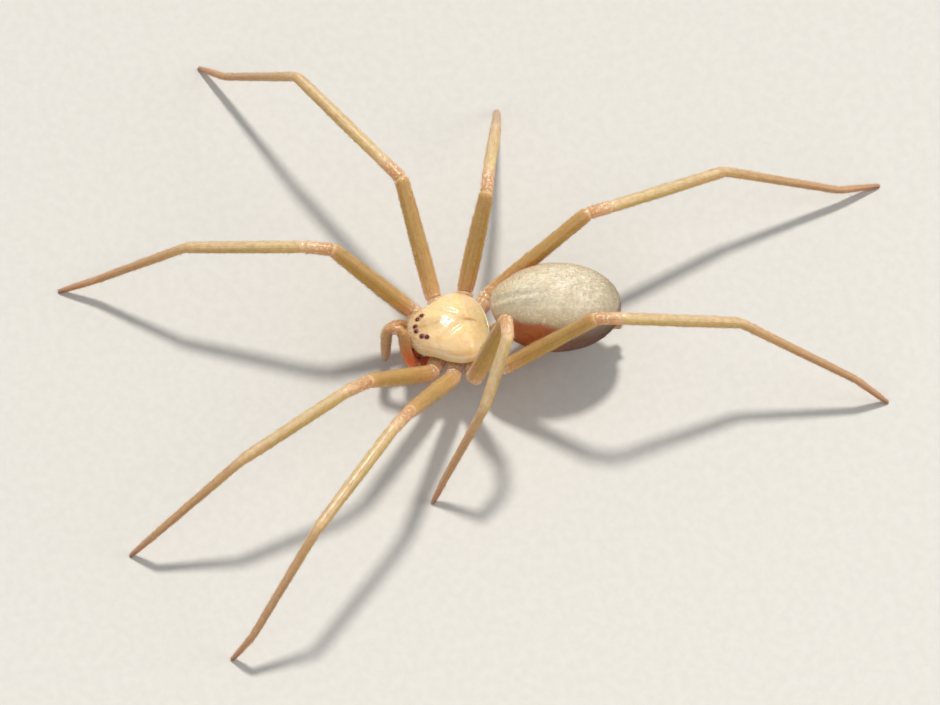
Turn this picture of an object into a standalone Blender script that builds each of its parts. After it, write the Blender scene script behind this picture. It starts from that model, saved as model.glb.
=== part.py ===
# Big bend recluse spider, a still model at life size that stands on the tips of its eight legs.
# Everything is in metres. Sizes are written in millimetres times MM.
# The head faces -Y, the spider's own left side is +X, and the floor is z = 0.
#
# While it is made, the body has its own directions: forward, left and up, with the origin on the
# floor under the middle of the carapace. The last step slides everything so that the middle of
# the whole footprint is at the origin.

import math

import bmesh
import bpy
from mathutils import Matrix, Vector

MM = 0.001

# Clear space between neighbouring pieces. A leg is only half a millimetre thick.
GAP = 0.2 * MM
SMALL_GAP = 0.06 * MM
WELD = 0.0005 * MM

# Carapace: the shield over the head and chest
CARAPACE_MARGIN_Z = 2.5 * MM
CARAPACE_BELLY = 0.1 * MM
# Distance from the middle to the margin, at equal steps of angle from the front to the back
CARAPACE_OUTLINE = [r * MM for r in (2.08, 1.95, 1.6, 1.57, 1.67, 1.71, 1.64, 1.5, 1.42)]
# Height of the midline over the margin, at equal steps from the back to the front
CARAPACE_CREST = [h * MM for h in (0.36, 0.62, 0.88, 0.96, 0.985, 0.965, 0.91, 0.83)]
CARAPACE_BACK_BLUNTNESS = 0.85
CARAPACE_FRONT_BLUNTNESS = 0.4
FOVEA_AT = -0.62 * MM
FOVEA_LENGTH = 0.26 * MM
FOVEA_WIDTH = 0.09 * MM
FOVEA_DEPTH = 0.12 * MM
GROOVE_DEPTH = 0.07 * MM
GROOVE_WIDTH = 0.13 * MM
GROOVE_SPREAD = 0.52

# Eyes: three pairs in a curved row, (forward, left) of each pair on the left side or the middle
EYE_RADIUS = 0.1 * MM
EYE_SPACING = 0.23 * MM
EYE_SINK = 0.015 * MM
EYE_PAIRS = {
    "middle": (1.72 * MM, 0.0, 0.0),
    "left": (1.45 * MM, 0.48 * MM, 118.0),
    "right": (1.45 * MM, -0.48 * MM, -118.0),
}

# Sternum: the plate under the chest, with the labium at its front
STERNUM_CENTRE = (-0.15 * MM, 0.0, 1.84 * MM)
STERNUM_HALF = (1.12 * MM, 0.7 * MM, 0.34 * MM)
STERNUM_HEART = 0.2
LABIUM_CENTRE = (0.98 * MM, 0.0, 1.72 * MM)
LABIUM_HALF = (0.3 * MM, 0.2 * MM, 0.17 * MM)

# Abdomen
ABDOMEN_CENTRE = (-4.21 * MM, 0.1 * MM, 3.05 * MM)
ABDOMEN_HALF = (2.84 * MM, 1.9 * MM, 1.8 * MM)
ABDOMEN_PITCH = 7.0
ABDOMEN_YAW = 5.0
ABDOMEN_REAR_FULLNESS = 0.06
ABDOMEN_UNDERCUT = 0.75 * MM

# Pedicel: the thin waist, as places and radii from the sternum to the abdomen
PEDICEL_ROUTE = [(-1.48 * MM, 0.0, 1.98 * MM), (-1.76 * MM, 0.0, 2.04 * MM), (-2.04 * MM, 0.0, 2.16 * MM)]
PEDICEL_RADII = [0.22 * MM, 0.24 * MM, 0.26 * MM]

# Spinnerets: short cones on a low base, (turn round the base, length, radius at the root)
SPINNERET_BASE_RADIUS = 0.42 * MM
SPINNERET_BASE_LENGTH = 0.18 * MM
SPINNERET_BELOW = 34.0
# The surface slants there, so the base stands this many gaps off it
SPINNERET_SLANT = 1.5
SPINNERETS = [
    (38.0, 0.36 * MM, 0.15 * MM),
    (142.0, 0.36 * MM, 0.15 * MM),
    (218.0, 0.42 * MM, 0.16 * MM),
    (322.0, 0.42 * MM, 0.16 * MM),
    (270.0, 0.26 * MM, 0.11 * MM),
]
SPINNERET_RING = 0.22 * MM

# Chelicerae and fangs, given for the left side
CHELICERA_ROUTE = [
    (1.7 * MM, 0.33 * MM, 2.3 * MM),
    (1.81 * MM, 0.34 * MM, 2.0 * MM),
    (1.83 * MM, 0.34 * MM, 1.65 * MM),
    (1.75 * MM, 0.32 * MM, 1.32 * MM),
]
CHELICERA_RADII = [0.24 * MM, 0.28 * MM, 0.26 * MM, 0.18 * MM]
FANG_ROUTE = [
    (1.74 * MM, 0.3 * MM, 1.22 * MM),
    (1.69 * MM, 0.24 * MM, 1.08 * MM),
    (1.6 * MM, 0.15 * MM, 0.98 * MM),
]
FANG_RADII = [0.1 * MM, 0.07 * MM, 0.03 * MM]

# Feelers (palps). The base runs up to the knee and the end hangs from it.
PALP_BASE_ROUTE = [
    (1.14 * MM, 0.4 * MM, 1.4 * MM),
    (1.47 * MM, 0.77 * MM, 1.44 * MM),
]
PALP_BASE_RADII = [0.18 * MM, 0.19 * MM, 0.21 * MM]
PALP_FEMUR_RADIUS = 0.24 * MM
PALP_TRIM_REACH = 0.7 * MM  # keeps the knee's cutting plane off the feeler's root
PALP_END_RADII = [0.24 * MM, 0.25 * MM, 0.24 * MM, 0.13 * MM]
PALPS = {
    "left": {
        "femur": [
            (2.08 * MM, 0.95 * MM, 1.8 * MM),
            (2.33 * MM, 0.5 * MM, 2.75 * MM),
            (2.24 * MM, 0.08 * MM, 3.42 * MM),
            (2.6 * MM, -0.06 * MM, 3.39 * MM),
        ],
        "knee": (2.94 * MM, -0.2 * MM, 3.36 * MM),
        "tip": (3.04 * MM, -0.04 * MM, 1.3 * MM),
    },
    "right": {
        "femur": [
            (1.94 * MM, -0.95 * MM, 1.86 * MM),
            (2.35 * MM, -0.72 * MM, 2.62 * MM),
        ],
        "knee": (2.83 * MM, -0.73 * MM, 2.5 * MM),
        "tip": (2.93 * MM, -0.55 * MM, 0.25 * MM),
    },
}

# Legs. Lengths of femur, patella, tibia, metatarsus and tarsus, by pair from the front.
LEG_LENGTHS = {
    1: (4.85, 1.2, 5.25, 4.95, 1.9),
    2: (5.35, 1.25, 5.75, 5.6, 1.75),
    3: (4.6, 1.15, 3.15, 4.2, 1.35),
    4: (5.6, 1.1, 5.5, 5.75, 1.9),
}
# Where the coxa meets the sternum, for the left side
COXA_START = {
    1: (0.72, 0.7, 1.88),
    2: (0.22, 0.94, 1.88),
    3: (-0.4, 0.94, 1.88),
    4: (-0.95, 0.74, 1.88),
}
# The trochanter's end, headings from straight ahead, turned to the leg's own side, for the five
# segments, and pitches of femur, patella, tibia and tarsus. The metatarsus takes the pitch that
# brings the tip to the floor.
LEG_POSES = {
    "leg_1_left": {
        "root": (1.45, 1.6, 2.0),
        "headings": (31, 24, 19, 15, -2),
        "pitches": (44, 13, -13, -53),
    },
    "leg_1_right": {
        "root": (1.58, 1.62, 2.0),
        "headings": (28, 20, 20, 17, 13),
        "pitches": (45, -3, -13, -32),
    },
    "leg_2_left": {
        "root": (0.52, 2.0, 2.0),
        "headings": (52, 44, 44, 35, 1),
        "pitches": (40, 15, -3, -60),
    },
    "leg_2_right": {
        "root": (0.52, 2.0, 2.0),
        "headings": (83, 59, 63, 50, 55),
        "pitches": (38, 4, -5, -32),
    },
    "leg_3_left": {
        "root": (-0.35, 2.24, 2.0),
        "headings": (180, 82, 55, 26, 32),
        "pitches": (73, 18, -38, -58),
    },
    "leg_3_right": {
        "root": (-0.85, 2.1, 2.0),
        "headings": (121, 107, 108, 103, 102),
        "pitches": (52, -3, -23, -49),
    },
    "leg_4_left": {
        "root": (-1.64, 1.95, 1.98),
        "headings": (168, 164, 179, 155, 155),
        "pitches": (46, 5, -21, -44),
    },
    "leg_4_right": {
        "root": (-1.78, 1.74, 1.95),
        "headings": (163, 165, 166, 183, 172),
        "pitches": (30, -16, -10, -20),
    },
}
FOOT_HEIGHT = 0.05 * MM
# Radii along each segment, as (share of the length, radius)
COXA_PROFILE = ((0.0, 0.2), (0.3, 0.28), (0.68, 0.34), (0.8, 0.3), (0.92, 0.35), (1.0, 0.34))
FEMUR_PROFILE = ((0.0, 0.32), (0.1, 0.37), (0.35, 0.4), (0.7, 0.36), (0.92, 0.31), (1.0, 0.3))
PATELLA_PROFILE = ((0.0, 0.27), (0.4, 0.28), (0.85, 0.27), (1.0, 0.26))
TIBIA_PROFILE = ((0.0, 0.25), (0.12, 0.28), (0.4, 0.28), (0.9, 0.26), (1.0, 0.26))
METATARSUS_PROFILE = ((0.0, 0.25), (0.5, 0.25), (1.0, 0.24))
TARSUS_PROFILE = ((0.12, 0.23), (0.55, 0.19), (1.0, 0.13))
LEG_SIDES = 12
# A segment runs on past its joint, thinner, before the joint's plane cuts it: (distance, share)
RUN_ON = ((0.18, 0.9), (0.42, 0.5))
FOOT_RUN_ON = (0.45, 0.11)

COLOURS = {
    "carapace_yellow": ((0.78, 0.55, 0.24), 0.35),
    "head_brown": ((0.5, 0.16, 0.05), 0.35),
    "eye_dark": ((0.05, 0.015, 0.008), 0.1),
    "leg_olive": ((0.5, 0.3, 0.1), 0.45),
    "leg_tip": ((0.45, 0.2, 0.07), 0.5),
    "abdomen_grey": ((0.5, 0.43, 0.26), 0.7),
}

SPIDER = "big_bend_recluse_spider"


def place(forward, left, up):
    """World place of body coordinates, in metres."""
    return Vector((left, -forward, up))


def start_scene():
    for thing in list(bpy.data.objects):
        bpy.data.objects.remove(thing, do_unlink=True)
    for name in (SPIDER, "cutters"):
        collection = bpy.data.collections.new(name)
        bpy.context.scene.collection.children.link(collection)


def make_material(name):
    colour, roughness = COLOURS[name]
    material = bpy.data.materials.new(name)
    material.use_nodes = True
    shader = material.node_tree.nodes["Principled BSDF"]
    shader.inputs["Base Color"].default_value = (*colour, 1.0)
    shader.inputs["Roughness"].default_value = roughness
    shader.inputs["Metallic"].default_value = 0.0
    return material


def material_named(name):
    return bpy.data.materials.get(name) or make_material(name)


def add_part(name, mesh, material_name):
    mesh.materials.clear()
    mesh.materials.append(material_named(material_name))
    mesh.shade_smooth()
    mesh.set_sharp_from_angle(angle=math.radians(50))
    part = bpy.data.objects.new(name, mesh)
    bpy.data.collections[SPIDER].objects.link(part)
    return part


def tidy_mesh(mesh):
    """Welds loose caps and turns every face outwards."""
    bm = bmesh.new()
    bm.from_mesh(mesh)
    bmesh.ops.remove_doubles(bm, verts=bm.verts, dist=WELD)
    bmesh.ops.recalc_face_normals(bm, faces=bm.faces)
    bm.to_mesh(mesh)
    bm.free()


def tube(name, points, radii, sides=LEG_SIDES):
    """A closed tube through the points, with a radius at each, from a curve with a round bevel."""
    curve = bpy.data.curves.new(name, "CURVE")
    curve.dimensions = "3D"
    curve.bevel_depth = MM
    curve.bevel_resolution = (sides - 4) // 2
    curve.use_fill_caps = True
    spline = curve.splines.new("POLY")
    spline.points.add(len(points) - 1)
    for control, point, radius in zip(spline.points, points, radii):
        control.co = (*point, 1.0)
        control.radius = radius / MM
    guide = bpy.data.objects.new(name + "_guide", curve)
    bpy.context.scene.collection.objects.link(guide)
    view = bpy.context.evaluated_depsgraph_get()
    mesh = bpy.data.meshes.new_from_object(guide.evaluated_get(view))
    mesh.transform(guide.matrix_world)
    bpy.data.objects.remove(guide, do_unlink=True)
    mesh.name = name
    tidy_mesh(mesh)
    return mesh


def trim(mesh, point, normal, reach=math.inf):
    """Cuts off what lies past a plane near a point, on its normal's side, and closes the cut."""
    bm = bmesh.new()
    bm.from_mesh(mesh)
    near = {vert for vert in bm.verts if (vert.co - point).length < reach}
    around = [item for item in bm.edges[:] + bm.faces[:] if near.issuperset(item.verts)]
    cut = bmesh.ops.bisect_plane(
        bm, geom=list(near) + around, dist=WELD / 10, plane_co=point, plane_no=normal, clear_outer=True)
    rim = [item for item in cut["geom_cut"] if isinstance(item, bmesh.types.BMEdge)]
    bmesh.ops.edgeloop_fill(bm, edges=rim)
    bmesh.ops.recalc_face_normals(bm, faces=bm.faces)
    bm.to_mesh(mesh)
    bm.free()


def ball(name, columns, rows, shape):
    """A UV sphere whose points (ahead, left, up) on the unit sphere go where the function says."""
    mesh = bpy.data.meshes.new(name)
    bm = bmesh.new()
    bmesh.ops.create_uvsphere(bm, u_segments=columns, v_segments=rows, radius=1.0)
    for vert in bm.verts:
        vert.co = shape(-vert.co.y, vert.co.x, vert.co.z)
    bmesh.ops.recalc_face_normals(bm, faces=bm.faces)
    bm.to_mesh(mesh)
    bm.free()
    return mesh


def boolean(part, cutters, operation):
    """Applies one Boolean with all the closed cutter objects, and removes them."""
    group = bpy.data.collections.new(part.name + "_cutters")
    bpy.data.collections["cutters"].children.link(group)
    for cutter in cutters:
        cutter.hide_render = True
        cutter.display_type = "WIRE"
        group.objects.link(cutter)
    step = part.modifiers.new("cut", "BOOLEAN")
    step.operand_type = "COLLECTION"
    step.collection = group
    step.operation = operation
    step.solver = "EXACT"
    view = bpy.context.evaluated_depsgraph_get()
    mesh = bpy.data.meshes.new_from_object(part.evaluated_get(view))
    part.modifiers.clear()
    part.data = mesh
    for cutter in cutters:
        bpy.data.objects.remove(cutter, do_unlink=True)
    bpy.data.collections.remove(group)
    keep_largest(mesh)


def keep_largest(mesh):
    """Keeps only the connected surface with the largest box."""
    bm = bmesh.new()
    bm.from_mesh(mesh)
    left = set(bm.verts)
    shells = []
    while left:
        shell = set()
        edge_of_shell = [left.pop()]
        while edge_of_shell:
            vert = edge_of_shell.pop()
            shell.add(vert)
            near = [edge.other_vert(vert) for edge in vert.link_edges]
            edge_of_shell += [v for v in near if v in left]
            left.difference_update(near)
        shells.append(shell)

    def reach(shell):
        return sum(max(v.co[i] for v in shell) - min(v.co[i] for v in shell) for i in range(3))

    shells.sort(key=reach)
    for shell in shells[:-1]:
        bmesh.ops.delete(bm, geom=list(shell), context="VERTS")
    bm.to_mesh(mesh)
    bm.free()


def along(values, share):
    """Smooth curve through equally spaced values; share runs from 0 to 1."""
    spot = min(max(share, 0.0), 1.0) * (len(values) - 1)
    i = min(int(spot), len(values) - 2)
    t = spot - i
    before = values[max(i - 1, 0)]
    after = values[min(i + 2, len(values) - 1)]
    slope_a = (values[i + 1] - before) / 2
    slope_b = (after - values[i]) / 2
    rise = values[i + 1] - values[i]
    square = 3 * rise - 2 * slope_a - slope_b
    cube = slope_a + slope_b - 2 * rise
    return values[i] + slope_a * t + square * t ** 2 + cube * t ** 3


def carapace_surface(ahead, left, up):
    """Point of the carapace for a point of the unit sphere."""
    angle = abs(math.atan2(left, ahead))
    spread = math.hypot(ahead, left)
    reach = along(CARAPACE_OUTLINE, angle / math.pi) * spread
    forward = reach * math.cos(angle)
    sideways = math.copysign(reach * math.sin(angle), left)
    if up <= 0:
        return place(forward, sideways, CARAPACE_MARGIN_Z - CARAPACE_BELLY * math.sqrt(abs(up)))
    back, front = -CARAPACE_OUTLINE[-1], CARAPACE_OUTLINE[0]
    share = (forward - back) / (front - back)
    blunt = CARAPACE_BACK_BLUNTNESS + (CARAPACE_FRONT_BLUNTNESS - CARAPACE_BACK_BLUNTNESS) * share ** 2
    height = along(CARAPACE_CREST, share) * up ** blunt
    return place(forward, sideways, CARAPACE_MARGIN_Z + height - furrow(forward, sideways))


def furrow(forward, sideways):
    """Depth of the fovea, and of the two grooves that run from it to the sides of the head."""
    pit = math.exp(-((forward - FOVEA_AT) / FOVEA_LENGTH) ** 2 - (sideways / FOVEA_WIDTH) ** 2)
    ahead = forward - FOVEA_AT
    if ahead <= 0:
        return FOVEA_DEPTH * pit
    across = (abs(sideways) - GROOVE_SPREAD * ahead) / GROOVE_WIDTH
    fade = min(ahead / FOVEA_LENGTH, 1.0) * math.exp(-(ahead / (1.6 * MM)) ** 4)
    return FOVEA_DEPTH * pit + GROOVE_DEPTH * fade * math.exp(-across ** 2)


def carapace_top(forward, left):
    """Height of the carapace over a place that lies inside its outline."""
    reach = along(CARAPACE_OUTLINE, abs(math.atan2(left, forward)) / math.pi)
    spread = math.hypot(forward, left) / reach
    angle = math.atan2(left, forward)
    return carapace_surface(spread * math.cos(angle), spread * math.sin(angle), math.sqrt(1 - spread ** 2)).z


def eye_places():
    """Middle of each eye, by name. The two eyes of a pair stand side by side on the shield."""
    eyes = {}
    for side, (forward, left, turn) in EYE_PAIRS.items():
        for number, step in ((1, 0.5), (2, -0.5)):
            ahead = forward + step * EYE_SPACING * math.sin(math.radians(abs(turn)))
            sideways = left + step * EYE_SPACING * math.cos(math.radians(turn)) * (1 if left >= 0 else -1)
            height = carapace_top(ahead, sideways) - EYE_SINK
            eyes[f"eye_{side}_{number}"] = place(ahead, sideways, height)
    return eyes


def eye_ball(name, centre, radius):
    return ball(name, 12, 8, lambda ahead, left, up: centre + place(ahead, left, up) * radius)


def make_carapace():
    carapace = add_part("carapace", ball("carapace", 44, 18, carapace_surface), "carapace_yellow")
    sockets = []
    for name, centre in eye_places().items():
        mesh = eye_ball(name + "_socket", centre, EYE_RADIUS + SMALL_GAP)
        sockets.append(bpy.data.objects.new(name + "_socket", mesh))
    boolean(carapace, sockets, "DIFFERENCE")


def make_eyes():
    for name, centre in eye_places().items():
        add_part(name, eye_ball(name, centre, EYE_RADIUS), "eye_dark")


def make_sternum():
    def shape(ahead, left, up):
        middle_f, middle_l, middle_z = STERNUM_CENTRE
        half_f, half_l, half_z = STERNUM_HALF
        wide = half_l * (1 + STERNUM_HEART * ahead)
        deep = half_z * math.copysign(abs(up) ** 0.6, up)
        return place(middle_f + half_f * ahead, middle_l + wide * left, middle_z + deep)

    sternum = add_part("sternum", ball("sternum", 24, 10, shape), "head_brown")
    middle, half = Vector(LABIUM_CENTRE), Vector(LABIUM_HALF)
    lip = ball("labium", 14, 8, lambda *spot: place(*(middle + half * Vector(spot))))
    boolean(sternum, [bpy.data.objects.new("labium", lip)], "UNION")


def abdomen_surface(ahead, left, up):
    """Point of the abdomen for a point of the unit sphere."""
    half_f, half_l, half_z = ABDOMEN_HALF
    local_f = half_f * ahead
    if ahead > 0 and up < 0.3:
        local_f -= ABDOMEN_UNDERCUT * ahead ** 2 * min(0.3 - up, 1.0)
    local = Vector((local_f, half_l * left * (1 - ABDOMEN_REAR_FULLNESS * ahead), half_z * up))
    yaw = Matrix.Rotation(-math.radians(ABDOMEN_YAW), 3, "Z")
    pitch = Matrix.Rotation(-math.radians(ABDOMEN_PITCH), 3, "Y")
    return place(*(Vector(ABDOMEN_CENTRE) + yaw @ pitch @ local))


def make_abdomen():
    add_part("abdomen", ball("abdomen", 36, 20, abdomen_surface), "abdomen_grey")


def make_pedicel():
    route = [place(*spot) for spot in PEDICEL_ROUTE]
    add_part("pedicel", tube("pedicel", route, PEDICEL_RADII), "head_brown")


def make_spinnerets():
    """The cluster at the abdomen's rear, fused to one low base."""
    below = math.radians(SPINNERET_BELOW)
    behind, low = -math.cos(below), -math.sin(below)
    root = abdomen_surface(behind, 0.0, low)
    outward = (root - abdomen_surface(0.0, 0.0, 0.0)).normalized()
    across = outward.cross(Vector((0, 0, 1))).normalized()
    upward = across.cross(outward)
    start = root + outward * GAP * SPINNERET_SLANT
    end = start + outward * SPINNERET_BASE_LENGTH
    base_mesh = tube("spinnerets", [start, end], [SPINNERET_BASE_RADIUS, SPINNERET_BASE_RADIUS * 0.85], 16)
    base = add_part("spinnerets", base_mesh, "abdomen_grey")
    cones = []
    for turn, length, radius in SPINNERETS:
        angle = math.radians(turn)
        side = (across * math.cos(angle) + upward * math.sin(angle)) * SPINNERET_RING
        foot = start + side + outward * SPINNERET_BASE_LENGTH / 2
        lean = (outward + side / MM * 0.35).normalized()
        tip = foot + lean * (length + SPINNERET_BASE_LENGTH / 2)
        middle = foot.lerp(tip, 0.7)
        mesh = tube(f"spinneret_{turn:.0f}", [foot, middle, tip], [radius, radius * 0.8, radius * 0.4], 8)
        cones.append(bpy.data.objects.new(mesh.name, mesh))
    boolean(base, cones, "UNION")


def mirrored(route, side):
    sign = 1 if side == "left" else -1
    return [place(forward, sign * left, up) for forward, left, up in route]


def make_jaws():
    for side in ("left", "right"):
        upper = tube("chelicera", mirrored(CHELICERA_ROUTE, side), CHELICERA_RADII)
        add_part(f"chelicera_{side}", upper, "head_brown")
        fang = tube("fang", mirrored(FANG_ROUTE, side), FANG_RADII, 8)
        add_part(f"fang_{side}", fang, "eye_dark")


def make_palps():
    for side, ends in PALPS.items():
        base_route = mirrored(PALP_BASE_ROUTE, side) + [place(*spot) for spot in ends["femur"]]
        knee = place(*ends["knee"])
        tip = place(*ends["tip"])
        rise = (knee - base_route[-1]).normalized()
        fall = (tip - knee).normalized()
        mitre = (rise + fall).normalized()
        past = knee + rise * 0.2 * MM
        radii = PALP_BASE_RADII + [PALP_FEMUR_RADIUS] * len(ends["femur"]) + [0.15 * MM]
        base = tube("palp", base_route + [knee, past], radii)
        trim(base, knee - mitre * GAP / 4, mitre, PALP_TRIM_REACH)
        add_part(f"palp_base_{side}", base, "leg_olive")
        before = knee - fall * 0.2 * MM
        end_route = [before, knee, knee.lerp(tip, 0.3), knee.lerp(tip, 0.7), tip]
        end = tube("palp", end_route, [0.15 * MM] + PALP_END_RADII)
        trim(end, knee + mitre * GAP / 4, -mitre)
        add_part(f"palp_{side}", end, "leg_tip")


def direction(heading, pitch, side):
    """Unit vector for a heading turned to the leg's own side and a pitch over the level."""
    heading = math.radians(heading) * (1 if side == "left" else -1)
    pitch = math.radians(pitch)
    return place(math.cos(pitch) * math.cos(heading), math.cos(pitch) * math.sin(heading), math.sin(pitch))


def leg_joints(pair, side, pose):
    """Joints of one leg from the trochanter's end to the tip."""
    forward, left, up = pose["root"]
    sign = 1 if side == "left" else -1
    lengths = [length * MM for length in LEG_LENGTHS[pair]]
    femur, patella, tibia, tarsus = pose["pitches"]
    known = ((0, femur), (1, patella), (2, tibia), (4, tarsus))
    drop = up * MM - FOOT_HEIGHT + sum(lengths[i] * math.sin(math.radians(p)) for i, p in known)
    metatarsus = -math.degrees(math.asin(drop / lengths[3]))
    joints = [place(forward * MM, sign * left * MM, up * MM)]
    pitches = (femur, patella, tibia, metatarsus, tarsus)
    for length, heading, pitch in zip(lengths, pose["headings"], pitches):
        joints.append(joints[-1] + direction(heading, pitch, side) * length)
    return joints


def segment(name, start, end, profile, run_back, run_on):
    """Tube of one segment, running on past the joints at its ends where asked."""
    axis = (end - start).normalized()
    points = [start.lerp(end, share) for share, radius in profile]
    radii = [radius * MM for share, radius in profile]
    if run_back:
        points = [start - axis * far * MM for far, share in reversed(RUN_ON)] + points
        radii = [radii[0] * share for far, share in reversed(RUN_ON)] + radii
    if run_on:
        radii += [radii[-1] * share for far, share in RUN_ON]
        points += [end + axis * far * MM for far, share in RUN_ON]
    return tube(name, points, radii)


def make_leg(name, pose):
    pair, side = int(name[4]), name[6:]
    forward, left, up = COXA_START[pair]
    coxa_start = place(forward * MM, (left if side == "left" else -left) * MM, up * MM)
    joints = leg_joints(pair, side, pose)
    route = [coxa_start] + joints
    axes = [(b - a).normalized() for a, b in zip(route, route[1:])]
    # The joint's plane halves the bend between two segments.
    mitres = [(a + b).normalized() for a, b in zip(axes, axes[1:])]
    profiles = (COXA_PROFILE, FEMUR_PROFILE, PATELLA_PROFILE, TIBIA_PROFILE)
    for i, (part, profile) in enumerate(zip(("coxa", "femur", "patella", "tibia"), profiles)):
        mesh = segment(name, route[i], route[i + 1], profile, i > 0, True)
        if i > 0:
            trim(mesh, route[i] + mitres[i - 1] * GAP / 2, -mitres[i - 1])
        trim(mesh, route[i + 1] - mitres[i] * GAP / 2, mitres[i])
        add_part(f"{name}_{part}", mesh, "leg_olive")
    make_foot(name, route[4:], mitres[3])


def make_foot(name, route, mitre):
    """Metatarsus and tarsus in one piece, with a small flat at the tip on the floor."""
    knee, ankle, tip = route
    points = [knee.lerp(ankle, share) for share, radius in METATARSUS_PROFILE]
    points += [ankle.lerp(tip, share) for share, radius in TARSUS_PROFILE]
    radii = [radius * MM for share, radius in METATARSUS_PROFILE + TARSUS_PROFILE]
    back = (knee - ankle).normalized()
    points = [knee + back * far * MM for far, share in reversed(RUN_ON)] + points
    radii = [radii[0] * share for far, share in reversed(RUN_ON)] + radii
    far, radius = FOOT_RUN_ON
    points.append(tip + (tip - ankle).normalized() * far * MM)
    radii.append(radius * MM)
    mesh = tube(name, points, radii)
    trim(mesh, knee + mitre * GAP / 2, -mitre)
    trim(mesh, Vector((0, 0, 0)), Vector((0, 0, -1)))
    add_part(f"{name}_metatarsus", mesh, "leg_tip")


def centre_footprint():
    """Slides everything so that the middle of the footprint is over the origin."""
    parts = bpy.data.collections[SPIDER].objects
    corners = [vert.co for part in parts for vert in part.data.vertices]
    middle_x = (min(c.x for c in corners) + max(c.x for c in corners)) / 2
    middle_y = (min(c.y for c in corners) + max(c.y for c in corners)) / 2
    for part in parts:
        part.data.transform(Matrix.Translation((-middle_x, -middle_y, 0)))


start_scene()
make_carapace()
make_eyes()
make_sternum()
make_pedicel()
make_abdomen()
make_spinnerets()
make_jaws()
make_palps()
for leg_name, leg_pose in LEG_POSES.items():
    make_leg(leg_name, leg_pose)
centre_footprint()
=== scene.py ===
# Looks for the big bend recluse spider: skins, eyes, jaws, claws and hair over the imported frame.
import math

import bpy
import numpy as np
from mathutils import Matrix, Vector, noise


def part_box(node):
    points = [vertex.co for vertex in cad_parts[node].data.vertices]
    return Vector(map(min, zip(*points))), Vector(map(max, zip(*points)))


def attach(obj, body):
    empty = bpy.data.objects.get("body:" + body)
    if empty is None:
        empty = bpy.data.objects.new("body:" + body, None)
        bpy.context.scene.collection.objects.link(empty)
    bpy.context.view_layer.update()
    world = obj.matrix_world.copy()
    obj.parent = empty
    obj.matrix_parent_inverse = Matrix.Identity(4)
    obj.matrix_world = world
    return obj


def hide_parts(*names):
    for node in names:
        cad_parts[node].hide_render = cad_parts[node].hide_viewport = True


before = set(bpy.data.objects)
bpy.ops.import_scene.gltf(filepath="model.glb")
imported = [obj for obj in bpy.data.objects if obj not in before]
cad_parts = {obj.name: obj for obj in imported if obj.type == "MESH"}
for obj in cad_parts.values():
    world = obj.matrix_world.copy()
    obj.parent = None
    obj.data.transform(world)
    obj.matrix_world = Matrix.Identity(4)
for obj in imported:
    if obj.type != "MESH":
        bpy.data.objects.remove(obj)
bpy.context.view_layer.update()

mm = 0.001

# Places on the body are (forward, left, up) in millimetres from the floor under the carapace's middle.
shieldShape = {
    "outline": (2.08, 1.95, 1.6, 1.57, 1.67, 1.71, 1.64, 1.5, 1.42),  # middle to margin, front to back
    "crest": (0.36, 0.62, 0.88, 0.96, 0.985, 0.965, 0.91, 0.83),  # midline over margin, back to front
    "marginHeight": 2.5,
    "belly": 0.1,
    "bluntBack": 0.85,
    "bluntFront": 0.39,
    "foveaAt": -0.62,
    "foveaLength": 0.2,
    "foveaWidth": 0.05,
    "foveaDepth": 0.13,
    "hollowDepth": 0.04,
    "grooveSpread": 0.52,
    "grooveWidth": 0.14,
    "grooveDepth": 0.05,
    "furrowAngles": (62, 96, 128),  # thoracic furrows towards the legs, from straight ahead
    "furrowWidth": 7,
    "furrowDepth": 0.016,
    "lip": 0.03,
    "uneven": ((0.3, 0.012), (0.13, 0.004)),  # size and depth, to break up the glints
    "hairs": 1500,
    "hairWidth": 0.009,
    "clearOfEyes": 0.14,
}
shieldLow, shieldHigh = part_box("carapace")
bodyX = (shieldLow.x + shieldHigh.x) / 2
bodyY = shieldLow.y + shieldShape["outline"][0] * mm


def onBody(forward, left, up):
    places = bodyX + np.multiply(left, mm), bodyY - np.multiply(forward, mm), np.multiply(up, mm)
    return np.stack(np.broadcast_arrays(*places), -1)


def tint(red, green, blue):
    # screen colour, 0 to 255, to the shader's linear colour
    def linear(value):
        value /= 255
        return value / 12.92 if value <= 0.04045 else ((value + 0.055) / 1.055) ** 2.4
    return linear(red), linear(green), linear(blue), 1.0


# Camera, floor and light
stageLook = {
    "aim": (-0.425, 0.921, 2.0),
    "distance": 0.6,
    "elevation": 58.74,
    "turn": 12.09,
    "lens": 542.8,
    "sensor": 36,
    "clip": (0.01, 10),
    "floorSize": 0.9,
    "floorColours": ((205, 202, 195), (209, 206, 199)),
    "keyStrength": 2.75,
    "keyAngle": 7.0,
    "keyFrom": (-0.45, 0.12, 0.88),
    "keyColour": (1.0, 0.97, 0.92),
    "fills": (((0.06, 0.22, 0.14), 0.17), ((0.16, -0.12, 0.16), 0.1)),  # place, strength
    "fillSize": 0.16,
    "skyColour": (0.93, 0.95, 1.0, 1.0),
    "skyStrength": 0.4,
}


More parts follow.
